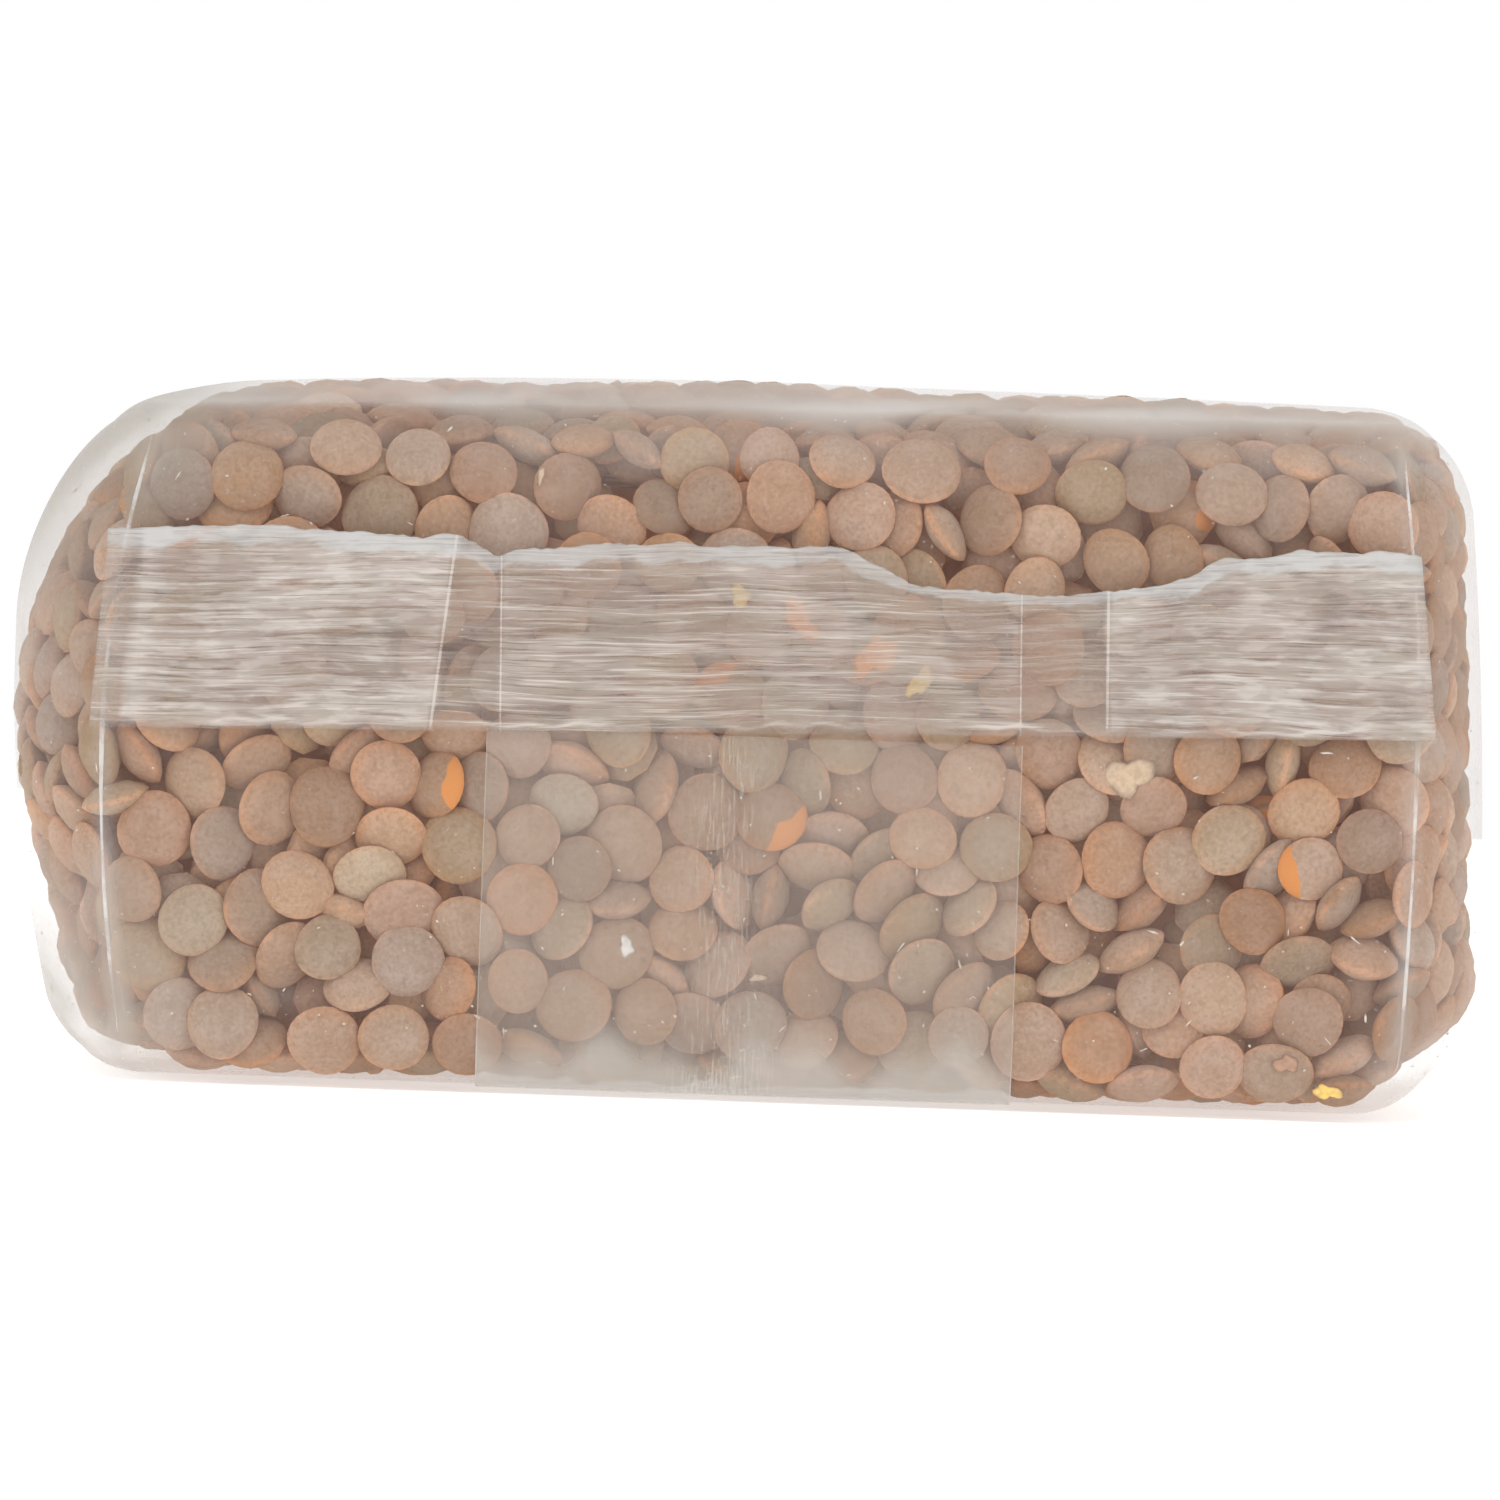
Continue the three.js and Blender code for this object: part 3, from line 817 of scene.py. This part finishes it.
def crease_tube(film_tree, places, draw):
    """A fine ridge on the film along these places, thinner toward its ends."""
    length = np.concatenate([[0], np.cumsum(np.linalg.norm(np.diff(places, axis=0), axis=1))])
    steps = np.linspace(0, length[-1], int(length[-1] / CREASE["step"]))
    line = np.stack([np.interp(steps, length, values) for values in places.T], axis=1)
    found = [film_tree.find_nearest(Vector(place)) for place in line]
    normals = np.array([hit[1] for hit in found])
    line = np.array([hit[0] for hit in found]) + normals * CREASE["proud"]
    line[1:-1] = (line[:-2] + 2 * line[1:-1] + line[2:]) / 4
    along = np.gradient(line, axis=0)
    along /= np.linalg.norm(along, axis=1, keepdims=True)
    beside = np.cross(normals, along)
    beside /= np.linalg.norm(beside, axis=1, keepdims=True)
    out = np.cross(along, beside)
    share = np.linspace(0, 1, len(line))
    radius = CREASE["radius"] * np.sqrt(np.clip(4 * share * (1 - share), 0.02, 1))
    radius = radius * (1 + 0.3 * np.sin(share * draw.uniform(9, 20) + draw.uniform(0, 6.28)))
    angles = np.arange(CREASE["sides"]) * 2 * math.pi / CREASE["sides"]
    c, s = np.cos(angles)[None, :, None], np.sin(angles)[None, :, None]
    ring = c * beside[:, None] + CREASE["flat"] * s * out[:, None]
    points = (line[:, None] + ring * radius[:, None, None]).reshape(-1, 3)
    fan = np.arange(1, CREASE["sides"] - 1)
    cap = np.stack([0 * fan, fan + 1, fan], axis=1)
    last_cap = cap[:, ::-1] + len(points) - CREASE["sides"]
    return points, np.concatenate([ring_walls(len(line), CREASE["sides"]), cap, last_cap]), {}


def make_creases(film):
    """The sharp creases at the sides of both ends, as fine white ridges of the film: white partly for the
    doubled film at the fold and partly as a painted highlight.
    """
    film_tree = tree_of([film], 4)
    draw = np.random.default_rng(SEED + 9)
    parts = [crease_tube(film_tree, side_crease(end, side), draw) for end in (-1, 1) for side in (-1, 1)]
    points, faces, _ = joined(parts)
    creases = mesh_object("creases", points, faces)
    n = Nodes("creases")
    strength = n.ramp(n.noise(n.position(), 0.35, 3.0), 0.35, 0.62, 0.06, 0.42)
    clear = n.add("BsdfTransparent", {"Color": WHITE})
    # Opaque white: partly the doubled film at the fold, partly a painted highlight along the crease
    white = n.add("BsdfPrincipled", {"Base Color": rgba((0.86, 0.86, 0.85)), "Roughness": 0.3})
    return n.dress(creases, n.mixed(strength, clear, white))


def cloud_at(vertices):
    """Soft clouds from 0 to 1 over the film."""
    x, y, z = vertices.T
    cloud = waves(x, (1.0, 0.31, 0.9 * np.sin(0.11 * y) + 0.7), (0.7, 0.53, 0.41 * z - 0.23 * y + 2.0))
    cloud = cloud + waves(z, (1.0, 0.24, 1.1 * np.sin(0.13 * x) - 0.19 * y))
    return smooth(cloud, -1.2, 2.2)


def make_film(tree):
    places, faces = unit_box_surface(FILM_CELLS["across"], FILM_CELLS["along"], FILM_CELLS["up"])
    vertices = place_on_bag(*places)
    normals = vertex_normals(vertices, faces)
    gaps = gaps_below(tree, vertices, normals)
    drape = smoothed(np.clip(gaps - 0.2, 0.0, DRAPE), faces, 5) * smooth(vertices[:, 2], 0.6, 4.0)
    vertices = vertices - normals * drape[:, None]
    stand_off = smoothed(least_nearby(gaps, faces, 3), faces, 8)
    fold = crease_at(vertices)
    # Beside the folds the film is made whiter: partly doubled film, partly a painted highlight along the
    # creases
    haze = HAZE["film"] + HAZE["clouds"] * cloud_at(vertices) + HAZE["fold"] * (1 - smooth(fold, 0.0, 1.6))
    haze = haze + HAZE["empty"] * np.clip((stand_off - 0.5) / 2.7, 0, 1)
    x, y, z = vertices.T
    from_end = BODY_LENGTH / 2 - np.abs(y)
    corner = np.maximum(smooth(-x * 0.8 + z * 0.57, 50.0, 58.0), smooth(-x * 0.8 - z * 0.57, 30.5, 37.0))
    corner = np.maximum(corner, smooth(x * 0.9 - z * 0.43, 41.0, 45.0)) * (1 - smooth(from_end, 10.0, 40.0))
    top = smooth(z + 0.5 * np.sin(0.3 * x), 44.9, 47.0) * (1 - smooth(from_end, 3.0, 26.0))
    top = top * (0.55 + 0.9 * cloud_at(vertices * [0.8, 2.2, 1.0]))
    haze = haze + HAZE["corner"] * corner + HAZE["top"] * top
    attributes = {"haze": np.clip(haze, 0, 0.9), "empty": np.maximum(smooth(stand_off, 1.0, 3.5), corner)}
    return body_film(mesh_object("film", vertices, faces, attributes))


# The fin's free edge on the shown end: how far across it and how high above the root line
FREE_EDGE = [
    (-44.0, 13.3), (-40.0, 13.5), (-36.2, 13.6), (-33.4, 13.7), (-30.3, 13.4), (-26.0, 13.2),
    (-22.8, 12.9), (-20.9, 13.3), (-20.0, 13.0), (-18.9, 12.3), (-17.8, 11.6), (-17.2, 12.0),
    (-15.8, 12.3), (-13.6, 12.3), (-11.6, 12.6), (-9.4, 12.7), (-7.8, 12.5), (-5.8, 12.9), (-4.0, 12.5),
    (-1.0, 12.6), (2.2, 12.5), (4.7, 12.7), (6.0, 12.2), (7.7, 11.3), (9.6, 10.3), (10.2, 10.0),
    (14.8, 9.7), (19.3, 9.4), (22.9, 9.8), (25.8, 10.1), (28.5, 10.8), (29.9, 11.8), (31.2, 12.2),
    (33.0, 12.0), (35.9, 12.7), (39.6, 12.5), (41.8, 12.7), (43.8, 12.4), (44.0, 12.2)]

# Where the fin has four layers of film, and where it has two alone, without the overlap
FOUR_LAYERS = {"left_root": -22.3, "left_edge": -20.6, "right": 23.1}
TWO_LAYERS = {"left": -17.6, "right": 17.3}
# A painted highlight down the fin's left end: where it lies at the root and at the free edge, and how wide
GLARE = {"root": -42.4, "edge": -40.9, "width": 0.9}

# The crimped ridges of a fin, and its unsealed lip
RIDGES = {"count": 13, "first": 1.5, "pitch": 0.86, "height": 0.12, "width": 0.19}
LIP = 1.25
FIN_CELLS = {"across": 200, "up": 80}
FIN_FIELDS = ("four", "middle", "lip", "ridge", "seam", "glare")


def free_edge_at(x):
    """The height of the fin's torn free edge, x counted from the fin's centre."""
    across, up = zip(*FREE_EDGE)
    near = [np.interp(x + step, across, up) for step in (-0.5, -0.25, 0.0, 0.25, 0.5)]
    return np.mean(near, axis=0) + waves(x, (0.05, 5.1, 2.0 * np.sin(1.3 * x)), (0.04, 2.3, 1.0))


def make_fin(name, end):
    """The fin on one end, -1 for the shown one and 1 for the far one: a thin closed sheet with ridges.

    It is made in its own plane, with x across, z up from the root, and how far out its two faces are."""
    draw = np.random.default_rng(SEED + 7)
    u, v = np.meshgrid(np.linspace(-1, 1, FIN_CELLS["across"] + 1), np.linspace(0, 1, FIN_CELLS["up"] + 1),
                       indexing="ij")
    top = free_edge_at(u * FIN["half_edge"])
    z = v * top
    share = z / FIN["height"]
    x = u * mix(FIN["half_root"], FIN["half_edge"], share)
    glare_at = mix(GLARE["root"], GLARE["edge"], share)
    four = 1 - rise(x, mix(FOUR_LAYERS["left_root"], FOUR_LAYERS["left_edge"], share), 0.15)
    four = four + rise(x, FOUR_LAYERS["right"], 0.15)
    four = four * (1 - 0.75 * (1 - rise(x, glare_at - 0.8, 0.4)))
    middle = rise(x, TWO_LAYERS["left"], 0.1) * (1 - rise(x, TWO_LAYERS["right"], 0.1))
    seam = bump(z, 0.50 + waves(x, (0.15, 0.5, 0.0), (0.10, 1.9, 0.0)), 0.13)
    seam = seam * smooth(np.sin(0.37 * x + 0.8), -0.6, 0.4)
    # Painted highlight: a bright band down the left end, and a fainter one along the root where there are
    # four layers
    glare = 0.5 * bump(x, glare_at, GLARE["width"])
    glare = glare + 0.3 * four * bump(z, 1.5 + waves(x, (0.3, 0.35, 1.0)), 0.5)
    thin_lip = smooth(x, 6.0, 10.0) * (1 - smooth(x, 24.0, 30.0))
    lip_height = LIP * (0.95 + waves(x, (0.16, 0.9, 1.0), (0.10, 2.3, 0.0))) * (1 - 0.45 * thin_lip)
    lip = rise(z, top - lip_height, 0.12)
    wander = waves(x, (0.10, 0.23, 1.0), (0.03, 0.61, 0.35 * z), (0.12, 0.11, -0.3 * z))
    wander = wander + 0.0042 * np.maximum(x - FOUR_LAYERS["right"], 0) * (z - 4.0)
    ridge = np.zeros_like(x)
    for k in range(RIDGES["count"]):
        at = RIDGES["first"] + k * RIDGES["pitch"] + draw.uniform(-0.15, 0.15)
        ridge += (0.6 + waves(x, (0.4, draw.uniform(0.2, 0.8), draw.uniform(0, 6.28)))) \
            * bump(z, at + wander, RIDGES["width"])
    ridge *= 1 - lip
    curl = lip * (0.20 + waves(x, (0.22, 0.95, 0.4), (0.14, 2.1, 0.0), (0.08, 4.7, 0.0)))
    root = np.sqrt(np.clip(z, 0, 1))
    away = FIN["stand_off"] * 0.6 + waves(x, (0.20, 0.21, 0.6), (0.09, 0.55, 2.0))
    back = away * root + z * math.tan(FIN["lean"]) + curl
    front = back + 0.10 + 0.18 * four + RIDGES["height"] * ridge + 0.15 * root
    slope = math.atan(FIN["slope"])
    level = x * math.cos(slope) - z * math.sin(slope) + FIN["centre"]
    up = x * math.sin(slope) + z * math.cos(slope) + FIN["root"]
    layers = [np.stack([level, end * (BODY_LENGTH / 2 + 0.12 + out), up], axis=-1).reshape(-1, 3)
              for out in (front, back)]
    fields = zip(FIN_FIELDS, (four, middle, lip, ridge, np.clip(seam, 0, 1), np.clip(glare, 0, 1)))
    attributes = {key: np.tile(field.ravel(), 2) for key, field in fields}
    weave = np.stack([x, z - wander, np.zeros_like(x)], axis=-1)
    attributes["weave"] = np.tile(weave.reshape(-1, 3), (2, 1))
    attributes["front"] = np.repeat([1.0, 0.0], x.size)
    faces = sheet_faces(*x.shape, flip=end > 0)
    return fin_film(mesh_object(name, np.concatenate(layers), faces, attributes))


def fin_film(obj):
    """Heat-sealed film, two to four layers of it: milky, with streaks and pressed blobs along the crimps, and
    painted highlights.
    """
    n = Nodes(obj.name)
    four, middle, lip, ridge, seam, glare, front = (n.attribute(key) for key in FIN_FIELDS + ("front",))
    weave = n.attribute("weave", "Vector")
    warp = n.noise(weave, (0.13, 0.30, 0), 2.0)
    shift = n.add("CombineXYZ", {1: n.wavering(0.0, warp, 0.5)})
    warped = n.add("VectorMath", {0: weave, 1: shift}, operation="ADD").outputs[0]

    def streaks(along, across, low, high, detail=2.0, base=warped):
        return n.ramp(n.noise(base, (along, across, 0), detail), low, high)

    band = streaks(0.05, 1.15, 0.38, 0.62)
    blob = streaks(0.44, 1.5, 0.46, 0.62, detail=3.0)
    gap = streaks(0.32, 1.8, 0.56, 0.66)
    short_hair = streaks(0.20, 5.0, 0.56, 0.66)
    dark_short = streaks(0.17, 3.6, 0.58, 0.70)
    patch = streaks(0.10, 0.16, 0.40, 0.62, base=weave)
    tint = streaks(0.16, 0.5, 0.42, 0.58, base=weave)
    hair = n.noise(warped, (0.09, 5.2, 0), 3.0, 0.6)
    dark = n.math("MAXIMUM", n.ramp(hair, 0.43, 0.34), dark_short)

    place = n.parts(weave)
    slant = (FOUR_LAYERS["left_edge"] - FOUR_LAYERS["left_root"]) / FIN["height"]
    line = seam
    for at, width in ((n.plus(FOUR_LAYERS["left_root"], place[1], slant), 0.13), (FOUR_LAYERS["right"], 0.13),
                      (TWO_LAYERS["left"], 0.08), (TWO_LAYERS["right"], 0.08)):
        off = n.math("ABSOLUTE", n.math("SUBTRACT", place[0], at))
        line = n.math("MAXIMUM", line, n.ramp(off, width * 0.4, width, 0.85, 0.0))
    window = n.math("SUBTRACT", 1.0, n.math("MAXIMUM", four, middle), clamp=True)
    white = n.total(
        0.20, (band, 0.22), (blob, n.ramp(four, 0.0, 1.0, 0.08, 0.22, "LINEAR")),
        (n.ramp(hair, 0.57, 0.66), n.ramp(four, 0.0, 1.0, 0.42, 0.24, "LINEAR")), (short_hair, 0.26),
        (dark, -0.38), (gap, -0.16), (ridge, 0.12), (patch, 0.16), (four, 0.07), (window, -0.20),
        (glare, 0.4), (line, 0.6))

    low = n.blend(tint, rgba((0.40, 0.325, 0.285)), rgba((0.40, 0.35, 0.29)))
    high = n.blend(four, rgba((0.60, 0.545, 0.495)), rgba((0.575, 0.525, 0.485)))
    colour = n.blend(lip, n.blend(white, low, high), rgba((0.50, 0.485, 0.47)))
    alpha = n.ramp(patch, 0.0, 1.0, 0.10, 0.20)
    alpha = n.total(alpha, (white, 0.62), (four, 0.14), (lip, 0.25), (middle, 0.08))
    root = n.ramp(n.wavering(place[1], warp, 1.2), -0.1, 0.7, 0.25, 1.0)
    alpha = n.math("MULTIPLY", alpha, root)
    alpha = n.math("MULTIPLY", alpha, n.ramp(front, 0.0, 1.0, 0.2, 1.0, "LINEAR"), clamp=True)
    clear = n.add("BsdfTransparent", {"Color": WHITE})
    milk = n.add("BsdfDiffuse", {"Color": colour})
    return n.dress(obj, n.glossed(n.mixed(alpha, clear, milk), 0.7))


# The overlap's grid: points across it, down an end, round a corner and along the underside
OVERLAP_CELLS = {"columns": 48, "end": 50, "corner": 12, "along": 130}


def overlap_path():
    """The overlap in the y-z plane, from one fin's root down and round the underside to the other's."""
    outside = 0.14
    reach = BODY_LENGTH / 2 + outside
    low = UNDERSIDE - outside
    bend = END_ROLL + outside
    quarter = np.linspace(0, math.pi / 2, OVERLAP_CELLS["corner"])
    down = np.linspace([-reach, FIN["root"] - 0.2], [-reach, bend + low], OVERLAP_CELLS["end"])
    corner = np.stack([-reach + bend - bend * np.cos(quarter), low + bend - bend * np.sin(quarter)], axis=1)
    under = np.linspace([-reach + bend, low], [reach - bend, low], OVERLAP_CELLS["along"])
    half = np.concatenate([down[:-1], corner[:-1], under[:OVERLAP_CELLS["along"] // 2]])
    return np.concatenate([half, half[::-1] * [-1, 1]])


def sheet_faces(rows, columns, flip=False):
    """Faces of a thin closed sheet: one grid of points, the same a little off it, and the rim between."""
    index = np.arange(rows * columns).reshape(rows, columns)
    border = np.concatenate([index[:, 0], index[-1, 1:], index[::-1, -1][1:], index[0, ::-1][1:]])
    behind = index + index.size
    rim = np.stack([border + index.size, border], axis=1)
    return np.concatenate([quads_of(index, flip), quads_of(behind, not flip), quads_of(rim, flip)])


def make_overlap():
    """The second layer of film along the back panel and up both ends, with its heat-sealed middle."""
    path = overlap_path()
    steps = np.linspace(OVERLAP["from"], OVERLAP["to"], OVERLAP_CELLS["columns"])
    x = np.repeat(steps[:, None], len(path), axis=1)
    edge = np.minimum(x - OVERLAP["from"], OVERLAP["to"] - x)
    seal = bump(x, -1.3, 2.6)
    tangent = np.gradient(path, axis=0)
    tangent /= np.linalg.norm(tangent, axis=1, keepdims=True)
    out = np.stack([tangent[:, 1], -tangent[:, 0]], axis=1)
    sheets = [(path + out * inset).T[:, None] + 0 * x for inset in (0.0, SHEETS_APART)]
    layers = [np.stack([x, y, z], axis=-1).reshape(-1, 3) for y, z in sheets]
    y, z = sheets[0]
    ragged = waves(x, (0.9, 0.55, 0.0), (0.5, 1.3, 1.0))
    lift = 1 - smooth(z, 1.4 + ragged, 4.6 + ragged)
    lift = lift * smooth(np.abs(y), BODY_LENGTH / 2 - 6, BODY_LENGTH / 2 - 2)
    haze = HAZE["overlap"] + HAZE["clouds"] * cloud_at(layers[0]).reshape(x.shape) + HAZE["lifted"] * lift
    values = {"haze": of_each_sheet(haze), "fold": edge, "seal": seal, "empty": lift}
    attributes = {key: np.tile(value.ravel(), 2) for key, value in values.items()}
    faces = sheet_faces(*x.shape, flip=True)
    return double_film(mesh_object("overlap", np.concatenate(layers), faces, attributes))


# Crumbs and dust between the lentils and the film
DUST = {"shown": 230, "elsewhere": 420, "least": 0.035, "most": 0.13, "under_film": 0.13, "scatter": 0.4,
        "round": 0.86, "colour": (0.72, 0.65, 0.56)}

# Loose bits: how far out of the film they lie, then the colour of each kind, and each one's place across
# and up the shown end, its size and its flatness
LOOSE = {"open": -0.15, "behind_fin": 0.12}
BITS = {
    "flake": ((0.78, 0.74, 0.70), [(-8.2, 10.3, 0.62, 0.85)]),
    "husk": ((0.60, 0.44, 0.30), [(25.6, 22.6, 1.7, 0.75), (-14.4, 41.4, 0.6, 0.3), (1.2, 8.0, 0.5, 0.5)]),
    "split": ((0.95, 0.34, 0.07), [(3.4, 32.0, 1.5, 0.6), (8.7, 29.8, 1.7, 0.65)]),
    "seed": ((0.48, 0.27, 0.17), [(36.8, 3.1, 0.75, 0.9)]),
    "yellow": ((0.92, 0.62, 0.17), [(11.1, 28.6, 1.1, 0.6), (-0.7, 33.7, 0.9, 0.6), (39.3, 1.9, 0.9, 0.6)]),
}


def lump(centre, normal, size, flatness, draw, segments=7):
    """A small uneven piece: a lens with a ragged outline, lying flat against a surface."""
    points, faces = lens_template(segments, [(0.7, 1), (1.0, 1)])
    angle = np.arctan2(points[:, 1], points[:, 0])
    wide = size * (1 + sum(height * np.cos(lobes * angle + draw.uniform(0, 6.28))
                           for lobes, height in ((2, 0.22), (3, 0.16), (5, 0.12))))
    shaped = points * np.stack([wide, wide * flatness, 0 * wide + 0.12 * size + 0.05], axis=1)
    rotation = facing(normal[None], draw.uniform(0, 6.28, 1))[0]
    return centre + shaped @ rotation.T, faces, {}


def crumbs(name, colour, parts):
    """One piece of loose bits, with a mottled face."""
    points, faces, _ = joined(parts)
    n = Nodes(name)
    mottle = n.ramp(n.noise(n.position(), 2.5, 3.0), 0.35, 0.65)
    inputs = {"Base Color": n.blend(mottle, rgba(colour, 0.8), rgba(colour)), "Roughness": 0.7}
    return n.dress(mesh_object(name, points, faces), n.add("BsdfPrincipled", inputs))


def make_crumbs(film):
    """Dust, flakes and split bits, just under the film."""
    vertices, normals = vertices_of(film)
    draw = np.random.default_rng(SEED + 3)
    on_end = normals[:, 1] < -0.9
    x, y, z = vertices.T
    weight = np.where(on_end, bump(x, 4, 26) * bump(z, 12, 13) + 0.12, 0.0)
    chosen = draw.choice(len(vertices), DUST["shown"], p=weight / weight.sum())
    rest = np.nonzero(~on_end & (z > 2))[0]
    chosen = np.concatenate([chosen, draw.choice(rest, DUST["elsewhere"])])
    parts = []
    for index in chosen:
        size = draw.uniform(DUST["least"], DUST["most"])
        streak = 1.0 if draw.uniform() < DUST["round"] else 3.2
        place = vertices[index] - normals[index] * DUST["under_film"]
        place = place + np.cross(normals[index], draw.normal(0, 1, 3)) * DUST["scatter"]
        parts.append(lump(place, normals[index], size * streak, 0.7 / streak, draw))
    pieces = [crumbs("dust", DUST["colour"], parts)]
    shown = np.nonzero(on_end)[0]
    for name, (colour, places) in BITS.items():
        parts = []
        for across, up, size, flatness in places:
            nearest = shown[np.argmin(np.hypot(x[shown] - across, z[shown] - up))]
            behind_fin = FIN["root"] < up < FIN["root"] + FIN["height"]
            place = vertices[nearest] + normals[nearest] * LOOSE["behind_fin" if behind_fin else "open"]
            parts.append(lump(place, normals[nearest], size, flatness, draw, segments=20))
        pieces.append(crumbs(name, colour, parts))
    return pieces


CORE = {"cells": (40, 56, 20), "inset": 6.0, "dark": (0.20, 0.09, 0.045), "light": (0.34, 0.155, 0.075)}


def make_core():
    """The deeper filling that shows between the lentils, as one closed form, with a painted warm glow added.
    """
    places, faces = unit_box_surface(*CORE["cells"])
    vertices = place_on_bag(*places)
    centre = np.array([0.0, 0.0, (END_HEIGHT + UNDERSIDE) / 2])
    shrink = 1 - CORE["inset"] / np.array([HALF_WIDTH, BODY_LENGTH / 2, BODY_HEIGHT / 2])
    core = mesh_object("core", centre + (vertices - centre) * shrink, faces)
    n = Nodes("core")
    mottle = n.ramp(n.noise(n.position(), 0.5, 2.0), 0.4, 0.6)
    colour = n.blend(mottle, rgba(CORE["dark"]), rgba(CORE["light"]))
    # The painted warm glow, an emission, is added to the core's diffuse colour here
    return n.dress(core, n.with_painted_glow(n.add("BsdfDiffuse", {"Color": colour})))


def make_room():
    """The camera, the pale floor and soft light."""
    scene = bpy.context.scene
    camera = bpy.data.objects.new("camera", bpy.data.cameras.new("camera"))
    scene.collection.objects.link(camera)
    width = FRAME_PIXELS / PIXELS_PER_MM
    camera.data.sensor_width = SENSOR
    camera.data.lens = SENSOR * CAMERA_DISTANCE / width
    camera.data.clip_start = 0.01
    camera.data.clip_end = 20
    camera.location = (0, -(BODY_LENGTH / 2 + CAMERA_DISTANCE) * MM, CAMERA_HEIGHT * MM)
    upright = Matrix.Rotation(math.pi / 2, 3, "X")
    camera.rotation_euler = (upright @ Matrix.Rotation(CAMERA_ROLL, 3, "Z")).to_euler()
    scene.camera = camera

    corners = [(-4000, -4000, -0.2), (4000, -4000, -0.2), (4000, 4000, -0.2), (-4000, 4000, -0.2)]
    floor = mesh_object("floor", corners, [[0, 1, 2, 3]])
    n = Nodes("floor")
    pale = n.add("BsdfDiffuse", {"Color": rgba((0.85, 0.85, 0.85))})
    glow = n.add("Emission", {"Color": WHITE, "Strength": FLOOR_GLOW})
    n.dress(floor, n.add("AddShader", {0: pale, 1: glow}))

    world = bpy.data.worlds.new("world")
    world.use_nodes = True
    world.node_tree.nodes["Background"].inputs["Color"].default_value = WHITE
    scene.world = world

    for name, place, power in (("key", (-0.5, -1.1, 0.9), 2.4), ("fill", (0.9, -0.9, 0.5), 0.8),
                               ("back", (0.2, 1.1, 1.0), 1.2)):
        lamp = bpy.data.lights.new(name, "AREA")
        lamp.size = LAMP_SIZE
        lamp.energy = power
        light = bpy.data.objects.new(name, lamp)
        light.location = place
        light.rotation_euler = (Vector((0, 0, 0.02)) - Vector(place)).to_track_quat("-Z", "Y").to_euler()
        light.visible_camera = False
        scene.collection.objects.link(light)
    scene.view_settings.view_transform = "Standard"


def main():
    make_room()
    lentils = make_lentils(pack_lentils())
    core = make_core()
    film = make_film(tree_of(lentils, 3))
    fins = [make_fin("fin_front", -1), make_fin("fin_back", 1)]
    overlap = make_overlap()
    contents = lentils + [core] + make_crumbs(film)
    films = [film, overlap, make_creases(film)] + fins
    for piece in contents + films:
        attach(piece, "root")
        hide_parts("bag")


main()
